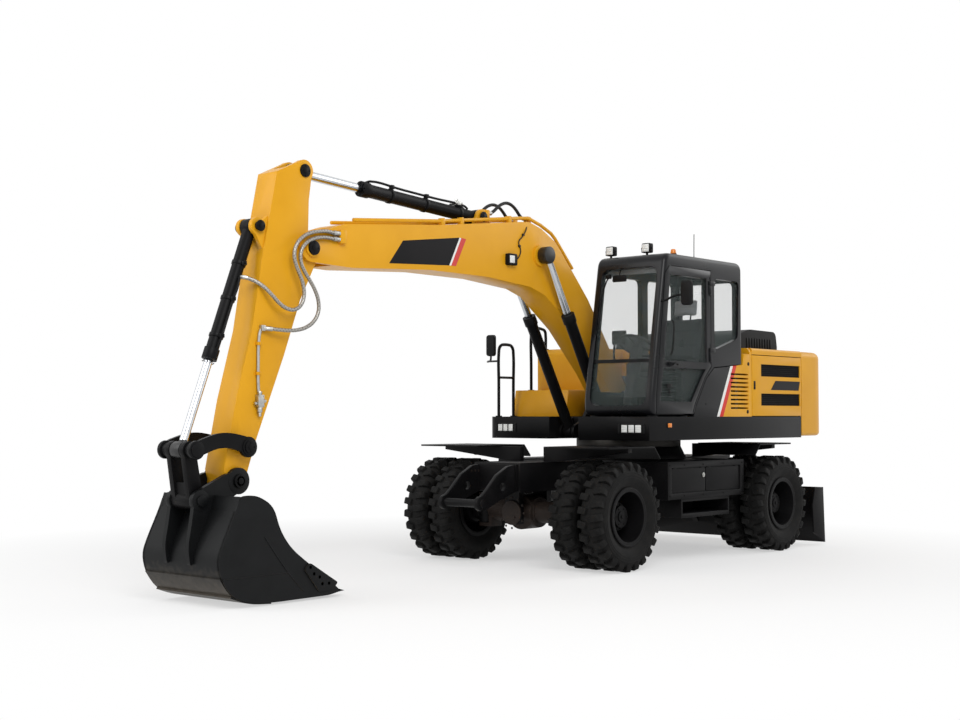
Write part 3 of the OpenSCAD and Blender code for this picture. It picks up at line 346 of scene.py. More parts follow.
for sub in frame["record"]["subparts"]:
    name = sub["node"]
    o = nodes[name]
    o.data.materials.clear()
    o.data.materials.append(special.get(name, finishes[sub["material_slot"]]))
    width = roundSet.get(edgeKind(name), roundSet["default"])
    o.modifiers.new("weld", "WELD").merge_threshold = 0.00005
    if width:
        bevel = o.modifiers.new("round", "BEVEL")
        bevel.width = width / 1000
        bevel.segments = 2
        bevel.limit_method = "ANGLE"
        bevel.angle_limit = 0.7
        bevel.use_clamp_overlap = True
    o.modifiers.new("shade", "NODES").node_group = softShade
print("materials set")


# free hoses between the boom, the arm and the pipes on the boom's back
def curveOf(name, points, radius, resolution=6, closed=False):
    data = bpy.data.curves.new(name, "CURVE")
    data.dimensions = "3D"
    data.resolution_u = resolution
    data.bevel_depth = radius
    data.bevel_resolution = 3
    data.use_fill_caps = True
    line = data.splines.new("BEZIER")
    line.bezier_points.add(len(points) - 1)
    line.use_cyclic_u = closed
    for knot, place in zip(line.bezier_points, points):
        knot.co = place
        knot.handle_left_type = knot.handle_right_type = "AUTO"
    return data


def meshOf(data):
    # the curve's surface, or its centreline where it has no thickness
    o = bpy.data.objects.new(data.name, data)
    scene.collection.objects.link(o)
    bpy.context.view_layer.update()
    made = bpy.data.meshes.new_from_object(o.evaluated_get(bpy.context.evaluated_depsgraph_get()))
    bpy.data.objects.remove(o)
    return made


hoseSet = {"radius": 0.016}
routeUpper = [(4150, 180, 3000), (4210, 180, 3000), (4290, 190, 3004), (4380, 200, 2996), (4480, 204, 2976),
              (4580, 204, 2930), (4648, 204, 2860), (4672, 204, 2775), (4650, 204, 2690), (4606, 204, 2610),
              (4572, 204, 2525), (4566, 204, 2440), (4598, 204, 2368), (4664, 204, 2328), (4742, 204, 2330),
              (4822, 202, 2368), (4890, 190, 2430), (4950, 160, 2494), (5005, 118, 2540), (5052, 76, 2566)]
routeLower = [(4150, 180, 2950), (4210, 180, 2950), (4290, 190, 2952), (4370, 200, 2946), (4460, 204, 2926),
              (4550, 204, 2878), (4600, 204, 2806), (4600, 204, 2724), (4560, 204, 2648), (4500, 204, 2576),
              (4442, 204, 2496), (4406, 204, 2408), (4408, 204, 2320), (4454, 204, 2244), (4532, 204, 2192),
              (4624, 204, 2164), (4720, 202, 2154), (4816, 190, 2156), (4880, 172, 2160), (4936, 142, 2164)]
routeBack = [(1570, 86, 3400), (1610, 86, 3400), (1655, 86, 3424), (1712, 86, 3474), (1780, 86, 3514),
             (1850, 86, 3526), (1920, 86, 3510), (1985, 86, 3474), (2040, 86, 3432), (2085, 86, 3406),
             (2105, 86, 3400), (2130, 86, 3400)]
hoses = {"armHoseUpper": (routeUpper, 1), "armHoseLower": (routeLower, 1), "boomHoseLeft": (routeBack, 1),
         "boomHoseRight": (routeBack, -1)}
for name, (route, side) in hoses.items():
    crosses = route is not routeBack
    points = [at(x, side * y, z) for x, y, z in route]
    line = [v.co.copy() for v in meshOf(curveOf(name + "Line", points, 0)).vertices]
    length = sum((b - a).length for a, b in zip(line, line[1:]))
    data = curveOf(name, points, hoseSet["radius"])
    hose = bpy.data.objects.new(name, meshOf(data) if crosses else data)
    scene.collection.objects.link(hose)
    hose.data.materials.append(braidedSteel if crosses else hoseRubber)
    if crosses:
        for face in hose.data.polygons:
            face.use_smooth = True
        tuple(points[4])
        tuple(points[-1])
        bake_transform(hose)
    else:
        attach(hose, "boom")
    tuple(line[0])
    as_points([tuple(p) for p in line] if crosses else None)
print("hoses laid")


# shapes in machine millimetres
def put(name, bm, material, body, sharp=0.6):
    # closes the mesh, brings it to the frame's metres and gives it its finish and body
    bmesh.ops.remove_doubles(bm, verts=bm.verts, dist=0.01)
    bmesh.ops.recalc_face_normals(bm, faces=bm.faces)
    toFrame = Matrix.Translation((-midX, 0, 0)) @ Matrix.Scale(0.001, 4)
    bmesh.ops.transform(bm, matrix=toFrame, verts=bm.verts)
    for e in bm.edges:
        e.smooth = len(e.link_faces) == 2 and e.calc_face_angle() < sharp
    for f in bm.faces:
        f.smooth = True
    mesh = bpy.data.meshes.new(name)
    bm.to_mesh(mesh)
    bm.free()
    mesh.materials.append(material)
    o = bpy.data.objects.new(name, mesh)
    scene.collection.objects.link(o)
    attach(o, body)
    return o


def softenEdges(bm, verts, soft, least=0.5, segments=2):
    # rounds the edges of a shape that are sharper than an angle
    bm.normal_update()
    rim = dict.fromkeys(e for v in verts for e in v.link_edges
                        if e.is_manifold and e.calc_face_angle() > least)
    if soft:
        bmesh.ops.bevel(bm, geom=list(rim), offset=soft, segments=segments, profile=0.5, affect="EDGES",
                        material=-1, clamp_overlap=True)


def blockAt(bm, low, high, soft=0, turn=None, segments=2):
    # a block between two corners, turned about its middle
    low, high = Vector(low), Vector(high)
    size = high - low
    place = Matrix.Translation((low + high) / 2) @ (turn or Matrix()) @ Matrix.Diagonal((*size, 1))
    softenEdges(bm, bmesh.ops.create_cube(bm, size=1, matrix=place)["verts"], soft, segments=segments)


def discAt(bm, seat, axis, radius, depth, soft=0, sides=28, top=None):
    # a turned disc or bar standing on its seat
    axis = Vector(axis).normalized()
    turn = axis.to_track_quat("Z", "Y").to_matrix().to_4x4()
    place = Matrix.Translation(Vector(seat) + axis * depth / 2) @ turn
    made = bmesh.ops.create_cone(bm, cap_ends=True, segments=sides, radius1=radius,
                                 radius2=radius if top is None else top, depth=depth, matrix=place)
    softenEdges(bm, made["verts"], soft, 0.8)


def boltAt(bm, seat, axis, size):
    # washer and hexagon head
    axis = Vector(axis).normalized()
    discAt(bm, seat, axis, size * 0.95, size * 0.2, 0, 14)
    discAt(bm, Vector(seat) + axis * size * 0.19, axis, size * 0.62, size * 0.5, size * 0.07, 6)


def prismAt(bm, outline, low, high, across="y", soft=0, corner=0, least=0.5):
    # an outline drawn out from low to high
    order = {"x": lambda u, v: (low, u, v), "y": lambda u, v: (u, low, v), "z": lambda u, v: (u, v, low)}
    face = bm.faces.new([bm.verts.new(order[across](u, v)) for u, v in outline])
    if corner:
        made = bmesh.ops.bevel(bm, geom=face.verts[:], offset=corner, segments=6, profile=0.5,
                               affect="VERTICES", material=-1)
        face = max((f for v in made["verts"] for f in v.link_faces), key=lambda f: f.calc_area())
    made = bmesh.ops.extrude_face_region(bm, geom=[face])
    moved = [v for v in made["geom"] if isinstance(v, bmesh.types.BMVert)]
    step = {"x": (high - low, 0, 0), "y": (0, high - low, 0), "z": (0, 0, high - low)}[across]
    bmesh.ops.translate(bm, vec=step, verts=moved)
    softenEdges(bm, moved, soft, least)


def pipeAt(bm, points, radius, resolution=5, closed=False):
    # a bent pipe along its points
    made = meshOf(curveOf("pipe", [Vector(p) for p in points], radius, resolution, closed))
    bm.from_mesh(made)
    bpy.data.meshes.remove(made)


def circleAt(middle, radius, count=16):
    # points of a ring about a cross axle
    x, y, z = middle
    turns = [i * 2 * math.pi / count for i in range(count)]
    return [(x + radius * math.cos(turn), y, z + radius * math.sin(turn)) for turn in turns]


def facing(s, near, far):
    # two distances out to the left or the right, the lower first
    return sorted((s * near, s * far))


def wheelFace(hand, depth):
    # a place out from the middle of the twin tyres, to the left or the right
    return hand * (wheelSet["y"] + depth)


# wheels: hub bolts, caps, rim edges, valve stems, rings on the tyre walls
wheelSet = {"x": 1425, "y": 940, "z": 515, "hubFace": 150, "capFace": 190, "boltRing": 117, "bolts": 10,
            "boltSize": 14, "capRing": 80, "capBolts": 6, "innerFace": 12, "innerRing": 178, "innerBolts": 8,
            "rimEdge": 266, "rimFace": 278, "tyreFace": 300, "tyreRings": (372, 392, 418)}
corners = [(end, sx, hand, sy) for end, sx in (("front", 1), ("rear", -1))
           for hand, sy in (("left", 1), ("right", -1))]
for end, sx, hand, sy in corners:
    body = "wheels_" + end + "_" + hand
    x, z, axis = sx * wheelSet["x"], wheelSet["z"], (0, sy, 0)
    bm = bmesh.new()
    hub = (x, wheelFace(sy, wheelSet["hubFace"]), z)
    for place in circleAt(hub, wheelSet["boltRing"], wheelSet["bolts"]):
        boltAt(bm, place, axis, wheelSet["boltSize"])
    cap = wheelSet["capFace"]
    for place in circleAt((x, wheelFace(sy, cap), z), wheelSet["capRing"], wheelSet["capBolts"]):
        boltAt(bm, place, axis, 9)
    discAt(bm, (x, wheelFace(sy, cap), z), axis, 54, 10, 3, 32)
    discAt(bm, (x, wheelFace(sy, cap + 10), z), axis, 20, 8, 2, 6)
    inner = (x, wheelFace(sy, wheelSet["innerFace"]), z)
    for place in circleAt(inner, wheelSet["innerRing"], wheelSet["innerBolts"]):
        boltAt(bm, place, axis, 16)
    pipeAt(bm, circleAt((x, wheelFace(sy, wheelSet["rimFace"]), z), wheelSet["rimEdge"]), 7, 4, True)
    pipeAt(bm, [(x + 200, wheelFace(sy, 120), z - 60), (x + 206, wheelFace(sy, 190), z - 62),
                (x + 212, wheelFace(sy, 232), z - 66)], 5, 3)
    put("hubDetails" + end.title() + hand.title(), bm, frameEnamel, body)
    bm = bmesh.new()
    for r in wheelSet["tyreRings"]:
        pipeAt(bm, circleAt((x, wheelFace(sy, wheelSet["tyreFace"] - 1), z), r, 24), 4, 3, True)
    put("tyreRings" + end.title() + hand.title(), bm, rubberTyre, body)
print("wheels dressed")

# side boxes: doors with lock, flanges
boxSet = {"out": 1100, "panel": 1078, "thick": 9, "low": 698, "high": 936, "rear": -752, "front": 522,
          "seam": -100, "corner": 18, "boltRows": (664, 970), "lock": (-60, 861)}
bm = bmesh.new()
bmLock = bmesh.new()
lockX, lockZ = boxSet["lock"]
for s in (1, -1):
    low, high = facing(s, boxSet["panel"], boxSet["panel"] + boxSet["thick"])
    for a, b in ((boxSet["rear"], boxSet["seam"] - 5), (boxSet["seam"] + 5, boxSet["front"])):
        prismAt(bm, [(a, boxSet["low"]), (b, boxSet["low"]), (b, boxSet["high"]), (a, boxSet["high"])],
                low, high, "y", 3, boxSet["corner"])
        for x in (a + 60, b - 60):
            blockAt(bm, (x - 34, low, boxSet["high"] - 4), (x + 34, high + s * 2, boxSet["high"] + 8), 2)
    for x in (boxSet["rear"] - 40, -420, -40, 300, boxSet["front"] + 40):
        for z in boxSet["boltRows"]:
            boltAt(bm, (x, s * boxSet["out"], z), (0, s, 0), 9)
    discAt(bmLock, (lockX, s * 1086, lockZ), (0, s, 0), 24, 8, 2)
    discAt(bmLock, (lockX, s * 1094, lockZ), (0, s, 0), 15, 5, 1.5)
    low, high = facing(s, 1098, boxSet["out"])
    blockAt(bmLock, (lockX - 2.5, low, lockZ - 9), (lockX + 2.5, high, lockZ + 9), 0.8)
put("boxDoors", bm, frameEnamel, "undercarriage")
put("boxLocks", bmLock, zincSteel, "undercarriage")

# bolts on the tow frame, cover and plug of the front axle
axleSet = {"x": 1675, "z": 515, "ring": 150, "bolts": 12, "cover": 120}
bm = bmesh.new()
for s in (1, -1):
    for place in circleAt((2356, s * 225, 640), 46, 6):
        boltAt(bm, place, (0, s, 0), 8)
    for x in (1940, 1990, 2040):
        boltAt(bm, (x, s * 200, 930), (0, s, 0), 12)
for y, _, rise in circleAt((0, 0, 0), axleSet["ring"], axleSet["bolts"]):
    boltAt(bm, (axleSet["x"], y, axleSet["z"] + rise), (1, 0, 0), 12)
discAt(bm, (axleSet["x"] - 3, 0, axleSet["z"]), (1, 0, 0), axleSet["cover"], 20, 6, 36)
discAt(bm, (axleSet["x"] + 15, 40, axleSet["z"] - 45), (1, 0, 0), 16, 12, 2, 6)
put("frontBolts", bm, axleEnamel, "undercarriage")
print("undercarriage dressed")

# boom: plain dark panel with white and red edge on both sides, pin caps, lamp lens, cable, clamps
panelSet = {"dark": [(3537, 2800), (3363, 3016), (2617, 3112), (2758, 2842)], "white": 26, "red": 66,
            "side": 160, "thick": 1.2}
highX, highZ = panelSet["dark"][2]
lowX, lowZ = panelSet["dark"][3]
for hand, s in (("Left", 1), ("Right", -1)):
    film = facing(s, panelSet["side"], panelSet["side"] + panelSet["thick"])
    bm = bmesh.new()
    prismAt(bm, panelSet["dark"], *film)
    put("boomPanel" + hand, bm, darkFilm, "boom")
    start = 0
    for name, width, colour in (("White", panelSet["white"], whiteFilm), ("Red", panelSet["red"], redFilm)):
        bm = bmesh.new()
        prismAt(bm, [(lowX - start, lowZ), (highX - start, highZ), (highX - start - width, highZ - 6),
                     (lowX - start - width, lowZ + 1)], *film)
        put("boomEdge" + name + hand, bm, colour, "boom")
        start += width
# places of the caps, their distance out, radius and thickness
pinSet = {"boom": [((2229, 3351), 114, 48, 12), ((20, 1610), 225, 60, 12)],
          "arm": [((4440, 2854), 181, 60, 16), ((4966, 2992), 126, 46, 12), ((4487, 3499), 120, 56, 12),
                  ((5131, 1216), 218, 52, 10)],
          "bucket": [((5198, 950), 176, 58, 14), ((5568, 811), 140, 46, 12)]}
for body, caps in pinSet.items():
    bm = bmesh.new()
    for (x, z), y, r, thick in caps:
        for s in (1, -1):
            discAt(bm, (x, s * y, z), (0, s, 0), r, thick, 3, 32)
            discAt(bm, (x, s * (y + thick), z), (0, s, 0), r * 0.45, 4, 1.5, 20)
            for place in circleAt((x, s * (y + thick), z), r * 0.7, 4):
                boltAt(bm, place, (0, s, 0), 7)
    put(body + "PinCaps", bm, blackEnamel, body)
boomLampSet = {"x": 1897, "z": 2966, "ribs": 4, "pitch": 17}
lensX, lensZ = boomLampSet["x"], boomLampSet["z"]
bm = bmesh.new()
blockAt(bm, (lensX - 18, 206, lensZ - 36), (lensX + 52, 213, lensZ + 36), 4)
for i in range(boomLampSet["ribs"]):
    rise = lensZ - 30 + i * boomLampSet["pitch"]
    blockAt(bm, (lensX - 12, 211, rise), (lensX + 46, 216, rise + 8), 2)
put("boomLampLens", bm, lampWhite, "boom")
bm = bmesh.new()
pipeAt(bm, [(1622, 140, 3330), (1650, 166, 3290), (1720, 168, 3200), (1768, 168, 3150), (1740, 168, 3060),
            (1780, 168, 2990), (1832, 170, 2966)], 6)
for x, z in ((1700, 3226), (1758, 3110)):
    blockAt(bm, (x - 14, 158, z - 10), (x + 14, 176, z + 10), 3)
put("lampCable", bm, hoseRubber, "boom")


# forms of the real pieces over their plain solids
def rounded(outline, radius, steps=5, closed=True):
    # the outline with its corners turned into arcs, the ends of an open one kept
    made = []
    count = len(outline)
    for i in range(count):
        corner = Vector(outline[i])
        if not closed and i in (0, count - 1):
            made.append(tuple(corner))
            continue
        before, after = Vector(outline[i - 1]) - corner, Vector(outline[(i + 1) % count]) - corner
        cut = min(radius, 0.48 * before.length, 0.48 * after.length)
        for k in range(steps + 1):
            share = k / steps
            made.append(tuple(corner + before.normalized() * cut * (1 - share) ** 2
                              + after.normalized() * cut * share ** 2))
    return made


def bevelWhere(bm, test, width, segments=4):
    # rounds the sharp edges whose two ends pass the test
    bm.normal_update()
    sharp = [e for e in bm.edges if e.is_manifold and e.calc_face_angle() > 0.5
             and all(test(v.co) for v in e.verts)]
    bmesh.ops.bevel(bm, geom=sharp, offset=width, segments=segments, profile=0.5, affect="EDGES", material=-1,
                    clamp_overlap=True)


def meshObject(bm):
    mesh = bpy.data.meshes.new("shape")
    bmesh.ops.recalc_face_normals(bm, faces=bm.faces)
    bm.to_mesh(mesh)
    bm.free()
    o = bpy.data.objects.new("shape", mesh)
    scene.collection.objects.link(o)
    return o


def carved(solid, openings):
    # the solid less its openings, in machine millimetres
    whole = meshObject(solid)
    tools = [meshObject(o) for o in openings]
    for tool in tools:
        cut = whole.modifiers.new("cut", "BOOLEAN")
        cut.object = tool
        cut.operation = "DIFFERENCE"
        cut.solver = "EXACT"
    bpy.context.view_layer.update()
    made = bpy.data.meshes.new_from_object(whole.evaluated_get(bpy.context.evaluated_depsgraph_get()))
    for o in tools + [whole]:
        bpy.data.objects.remove(o)
    bm = bmesh.new()
    bm.from_mesh(made)
    bpy.data.meshes.remove(made)
    return bm


def opening(outline, low, high, across, radius):
    bm = bmesh.new()
    prismAt(bm, rounded(outline, radius) if radius else outline, low, high, across)
    return bm


def plateAt(bm, low, high, radius, ends, across, soft):
    # an upright plate between two corners, its own corners turned into arcs
    (u0, v0), (u1, v1) = low, high
    prismAt(bm, rounded([(u0, v0), (u1, v0), (u1, v1), (u0, v1)], *radius), *ends, across, soft)


def standFor(name, bm, material, body, slotName, *hidden):
    piece = put(name, bm, material, body)
    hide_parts(*hidden)
    return piece


# tyres: carcass turned about the axle, two rows of skewed lugs
tyreSet = {"rim": 254, "seat": 97.6, "half": 131, "tread": 489, "top": 512.5, "lugs": 24, "long": 64,
           "skew": 0.175, "twin": 170, "steps": 72, "soft": 5}
rim, tread, wallHalf, top = (tyreSet[key] for key in ("rim", "tread", "half", "top"))
wall = [(rim, tyreSet["seat"]), (rim + 30, tyreSet["seat"]), (rim + 60, 111.6), (rim + 110, wallHalf),
        (tread - 70, wallHalf), (tread - 24, 107), (tread, 65)]
lugSide = [(tread - 62, wallHalf - 3), (tread - 10, wallHalf), (top, 111), (top, 26), (tread - 12, 14),
           (tread - 40, wallHalf - 50)]


def lugsAbout(hub):
    # both rows of lugs of one tyre
    bm = bmesh.new()
    for row in (1, -1):
        for i in range(tyreSet["lugs"]):
            face = bm.faces.new([bm.verts.new((r, row * w, -tyreSet["long"] / 2)) for r, w in lugSide])
            made = bmesh.ops.extrude_face_region(bm, geom=[face])["geom"]
            lug = [v for v in made if isinstance(v, bmesh.types.BMVert)]
            bmesh.ops.translate(bm, vec=(0, 0, tyreSet["long"]), verts=lug)
            turn = (i + (0.5 if row < 0 else 0)) * 2 * math.pi / tyreSet["lugs"] + math.pi / 2
            place = (Matrix.Translation(hub) @ Matrix.Rotation(turn, 4, "Y")
                     @ Matrix.Rotation(row * tyreSet["skew"], 4, "X"))
            bmesh.ops.transform(bm, verts=lug + list(face.verts), matrix=place)
    bmesh.ops.recalc_face_normals(bm, faces=bm.faces)
    softenEdges(bm, bm.verts, tyreSet["soft"], 0.5, 1)
    return bm


def carcassAt(bm, hub):
    section = wall + [(r, -w) for r, w in reversed(wall)]
    loop = [bm.verts.new(hub + Vector((r, w, 0))) for r, w in section]
    ring = [bm.edges.new((loop[i - 1], loop[i])) for i in range(len(loop))]
    bmesh.ops.spin(bm, geom=loop + ring, cent=hub, axis=(0, 1, 0), angle=2 * math.pi, steps=tyreSet["steps"],
                   use_merge=True, use_duplicate=False)


for end, sx, hand, sy in corners:
    bm = bmesh.new()
    for shift in (-tyreSet["twin"], tyreSet["twin"]):
        hub = Vector((sx * wheelSet["x"], wheelFace(sy, shift), wheelSet["z"]))
        carcassAt(bm, hub)
        lugMesh = lugsAbout(hub)
        mesh = bpy.data.meshes.new("lugs")
        lugMesh.to_mesh(mesh)
        lugMesh.free()
        bm.from_mesh(mesh)
        bpy.data.meshes.remove(mesh)
    standFor("tyres" + end.title() + hand.title(), bm, rubberTyre, "wheels_" + end + "_" + hand,
             "tyre rubber", "tyres_" + end + "_" + hand)
print("tyres made")

# bucket: rolled shell between cheeks, ears, wear strips, lip teeth, cutters
bucketSet = {"half": 480, "cheek": 26, "teeth": 5, "toothHalf": 34, "pin": 42, "ear": (126, 166),
             "middle": (5200, 560), "strips": ((3, 7, 5), (3, 6, 10)), "sunk": 8}
heel = [(4399, 45), (4516, 23), (4835, 21), (5119, 19), (5329, 33), (5512, 95), (5617, 239), (5647, 379),
        (5599, 499), (5529, 639), (5481, 741)]
inside = [(4471, 56), (4516, 47), (4835, 45), (5119, 43), (5329, 57), (5498, 114), (5593, 246), (5623, 379),
          (5575, 499), (5505, 634), (5457, 731)]
mouth = [(5481, 741), (5439, 849), (5289, 857), (5109, 769), (5044, 574), (4931, 426), (4742, 289),
         (4559, 179), (4399, 45)]
ear = [(5103, 910), (5258, 1036), (5618, 877), (5651, 639), (5687, 459), (5659, 299), (5599, 399),
       (5499, 499), (5479, 719), (5329, 789)]
cutter = [(4440, 119), (4499, 69), (4639, 59), (4799, 249), (4742, 299), (4559, 189)]
cutterBolts = [(4540, 120), (4612, 122), (4640, 178), (4700, 208), (4738, 262)]
welds = [[(5600, 233), (4963, 239)], [(5198, 528), (4963, 239), (4799, 80)]]
topBar = [(5439, 849), (5279, 789), (5289, 759), (5439, 704), (5481, 734), (5461, 789)]
tooth = [(4329, 41), (4419, 33), (4559, 27), (4599, 59), (4469, 83)]
bucketHalf = bucketSet["half"]
outer, inner = rounded(heel, 260, 4, False), rounded(inside, 250, 4, False)
bm = bmesh.new()
prismAt(bm, outer + inner[::-1], -bucketHalf + 3, bucketHalf - 3)
for s in (1, -1):
    prismAt(bm, outer + rounded(mouth, 150, 5, False)[1:-1],
            *facing(s, bucketHalf - bucketSet["cheek"], bucketHalf))
    # ears that run down the back, with their pin bosses
    prismAt(bm, rounded(ear, 90), *facing(s, *bucketSet["ear"]))
    for (x, z), r in (((5198, 950), 105), ((5568, 811), 82)):
        discAt(bm, (x, s * 124, z), (0, s, 0), r, 44, 3, 40)
        discAt(bm, (x, s * 60, z), (0, s, 0), bucketSet["pin"], 130, 2, 28)
    prismAt(bm, rounded(cutter, 24, 3), *facing(s, bucketHalf - 1, bucketHalf + 14))
    for x, z in cutterBolts:
        discAt(bm, (x, s * (bucketHalf + 8), z), (0, s, 0), 15, 6, 0, 6)
    # weld beads over the cheek's stiffeners
    for run in welds:
        pipeAt(bm, [(x, s * (bucketHalf + 1), z) for x, z in run], 4, 2)
prismAt(bm, topBar, -bucketHalf + 2, bucketHalf - 2)
middle = Vector(bucketSet["middle"])
for first, last, thick in bucketSet["strips"]:
    lap = [Vector(p) for p in rounded(heel[first:last], 260, 4, False)]
    proud = [tuple(p + (p - middle).normalized() * thick) for p in lap]
    deep = [tuple(p - (p - middle).normalized() * bucketSet["sunk"]) for p in lap]
    prismAt(bm, proud + deep[::-1], -bucketHalf + 6 + thick, bucketHalf - 6 - thick)
for i in range(bucketSet["teeth"]):
    y = (i / (bucketSet["teeth"] - 1) - 0.5) * 2 * (bucketHalf - 60)
    prismAt(bm, tooth, y - bucketSet["toothHalf"], y + bucketSet["toothHalf"], "y", 4)
standFor("bucketBody", bm, bucketEnamel, "bucket", "bucket steel", "bucket")

# rocker plates on both sides, with the bosses of their pins: place, distance out, radius, depth, sides
rocker = [(5111, 1292), (5085, 1146), (5383, 1232), (5660, 1133), (5650, 1265), (5383, 1345)]
rockerBosses = [((5131, 1216), 172, 82, 34, 36), ((5131, 1216), 203, 68, 13, 36),
                ((5636, 1199), 172, 72, 34, 36), ((5636, 1199), 126, 56, 90, 32)]
bm = bmesh.new()
for s in (1, -1):
    prismAt(bm, rounded(rocker, 130, 6), *facing(s, 174, 204))
    for (x, z), y, radius, depth, sides in rockerBosses:
        discAt(bm, (x, s * y, z), (0, s, 0), radius, depth, 3, sides)
standFor("rockerPlates", bm, blackEnamel, "rocker_links", "frame paint", "rocker_links")
print("bucket made")

# counterweight with its lifting eyes
hoodSet = {"front": -837, "joint": -1905, "rear": -2480, "half": 1200, "low": 1237, "top": 2178,
           "corner": 330, "edge": 76, "foot": 40, "deck": 1452, "rail": 2110, "railIn": 905, "round": 68,
           "eyes": (-2085, 420)}
hoodTop, hoodHalf = hoodSet["top"], hoodSet["half"]


def onRim(p):
    return p.x < hoodSet["joint"] - 1 or abs(p.y) > hoodHalf - 1


bm = bmesh.new()
plan = [(hoodSet["joint"], -hoodHalf), (hoodSet["rear"], -hoodHalf), (hoodSet["rear"], hoodHalf),
        (hoodSet["joint"], hoodHalf)]
prismAt(bm, rounded(plan, hoodSet["corner"], 8, False), hoodSet["low"], hoodTop, "z")
bevelWhere(bm, lambda p: p.z > hoodTop - 1 and onRim(p), hoodSet["edge"], 6)
bevelWhere(bm, lambda p: p.z < hoodSet["low"] + 1 and onRim(p), hoodSet["foot"])
eyes = []
for s in (1, -1):
    eye = bmesh.new()
    discAt(eye, (hoodSet["eyes"][0], s * hoodSet["eyes"][1], hoodTop - 80), (0, 0, 1), 18, 90, 0, 24)
    eyes.append(eye)
standFor("counterweightBody", carved(bm, eyes), yellowEnamel, "upper", "yellow paint", "counterweight")

# hood: rails along its sides, hinges of the bonnet, front wall
hingeLeaf = [(-835, 2176), (-803, 2176), (-853, 2211), (-847, 2189)]
bm = bmesh.new()
for s in (1, -1):
    bend = [(hoodHalf, hoodSet["rail"]), (hoodHalf, hoodTop), (hoodSet["railIn"], hoodTop)]
    edge = [(s * y, z) for y, z in rounded(bend, hoodSet["round"], 6, False)]
    prismAt(bm, edge + [(s * hoodSet["railIn"], hoodSet["rail"])], hoodSet["joint"], hoodSet["front"], "x")
    for y in (380, 522):
        prismAt(bm, hingeLeaf, *facing(s, y, y + 18))
        discAt(bm, (-857, s * y, 2198), (0, s, 0), 14, 18, 2, 20)
    discAt(bm, (-857, s * 390, 2198), (0, s, 0), 8, 140, 1, 16)
wallY = hoodHalf - 2
wallTop = [(wallY, hoodSet["deck"]), (wallY, hoodTop), (-wallY, hoodTop), (-wallY, hoodSet["deck"])]
prismAt(bm, rounded(wallTop, hoodSet["round"], 6, False), hoodSet["front"], hoodSet["front"] + 40, "x")
standFor("hoodRails", bm, yellowEnamel, "upper", "yellow paint", "hood_frame")

# louvred dome on the bonnet
domeSet = {"front": -1157, "rear": -2050, "half": 820, "rise": 240, "edge": 80, "slots": 10, "pitch": 56,
           "slot": 26, "rearSlots": 21, "rearStart": -590, "rearPitch": 58, "rearSlot": 28}
domeTop, domeRear, domeFront = hoodTop + domeSet["rise"], domeSet["rear"], domeSet["front"]
bm = bmesh.new()
profile = [(domeRear, hoodTop + 8), (domeFront, hoodTop + 8), (domeFront - 70, domeTop - 60),
           (domeFront - 260, domeTop), (domeRear + 40, domeTop - 8)]
prismAt(bm, rounded(profile, 70, 5), -domeSet["half"], domeSet["half"])
bevelWhere(bm, lambda p: abs(p.y) > domeSet["half"] - 1 and p.z > hoodTop + 60, domeSet["edge"], 6)
for i in range(domeSet["slots"]):
    x = domeRear + 150 + i * domeSet["pitch"]
    for s in (1, -1):
        low, high = facing(s, domeSet["half"] - 14, domeSet["half"] + 8)
        blockAt(bm, (x, low, hoodTop + 34), (x + domeSet["slot"], high, domeTop - 96), 5)
for i in range(domeSet["rearSlots"]):
    y = domeSet["rearStart"] + i * domeSet["rearPitch"]
    blockAt(bm, (domeRear - 6, y, hoodTop + 40), (domeRear + 26, y + domeSet["rearSlot"], domeTop - 96), 5)
standFor("louvredDome", bm, blackPlastic, "bonnet", "black plastic", "bonnet_grille")
print("hood made")

# lamp housings: headlamps, roof lamps, beacon seat, roof cap, marker seat
housingSet = {"left": (1060, 866, 1122), "right": (660, -1052, -824), "roof": (446, 888), "roofX": 634,
           "beacon": (470, 1090), "cap": (-420, 528)}
roofTop = 3058
bm = bmesh.new()
for x, y0, y1 in (housingSet["left"], housingSet["right"]):
    plateAt(bm, (y0, 1285), (y1, 1385), (16, 3), (x - 6, x + 8), "x", 3)
for y in housingSet["roof"]:
    discAt(bm, (housingSet["roofX"], y, roofTop), (0, 0, 1), 12, 30, 2, 16)
    plateAt(bm, (y - 49, 3085), (y + 49, 3181), (14, 3), (600, 658), "x", 4)
    blockAt(bm, (590, y - 36, 3096), (602, y + 36, 3170), 5)
discAt(bm, (*housingSet["beacon"], roofTop), (0, 0, 1), 36, 18, 3, 28)
discAt(bm, (*housingSet["cap"], roofTop), (0, 0, 1), 60, 62, 12, 32)
blockAt(bm, (686, 1198, 1342), (762, 1208, 1394), 5)
standFor("lampHousings", bm, blackPlastic, "upper", "lamp", "lamps")

# rails: two loops with a rung each, stays of the mirrors, feet
railSet = {"y": -1160, "tube": 17, "rung": 14, "stay": 11,
           "front": [(520, 1450), (520, 1800), (520, 2150), (508, 2206), (474, 2236), (440, 2242),
                     (352, 2242), (318, 2236), (284, 2206), (272, 2150), (272, 1800), (272, 1450)],
           "frontRung": [(520, 1880), (396, 1880), (272, 1880)],
           "rear": [(-40, 1740), (-40, 2000), (-40, 2370), (-52, 2420), (-92, 2440), (-248, 2440),
                    (-288, 2420), (-300, 2370), (-300, 2208)],
           "rearRung": [(-40, 2290), (-170, 2290), (-300, 2290)],
           "feet": [(520, 1452), (272, 1452), (-40, 1742), (-300, 2210)]}
railY = railSet["y"]
bm = bmesh.new()
for key, size in (("front", "tube"), ("frontRung", "rung"), ("rear", "tube"), ("rearRung", "rung")):
    pipeAt(bm, [(x, railY, z) for x, z in railSet[key]], railSet[size])
pipeAt(bm, [(514, railY - 10, 2060), (500, -1250, 2060), (420, -1400, 2064), (300, -1496, 2070),
            (266, -1500, 2084), (260, -1500, 2106), (260, -1500, 2140)], railSet["stay"])
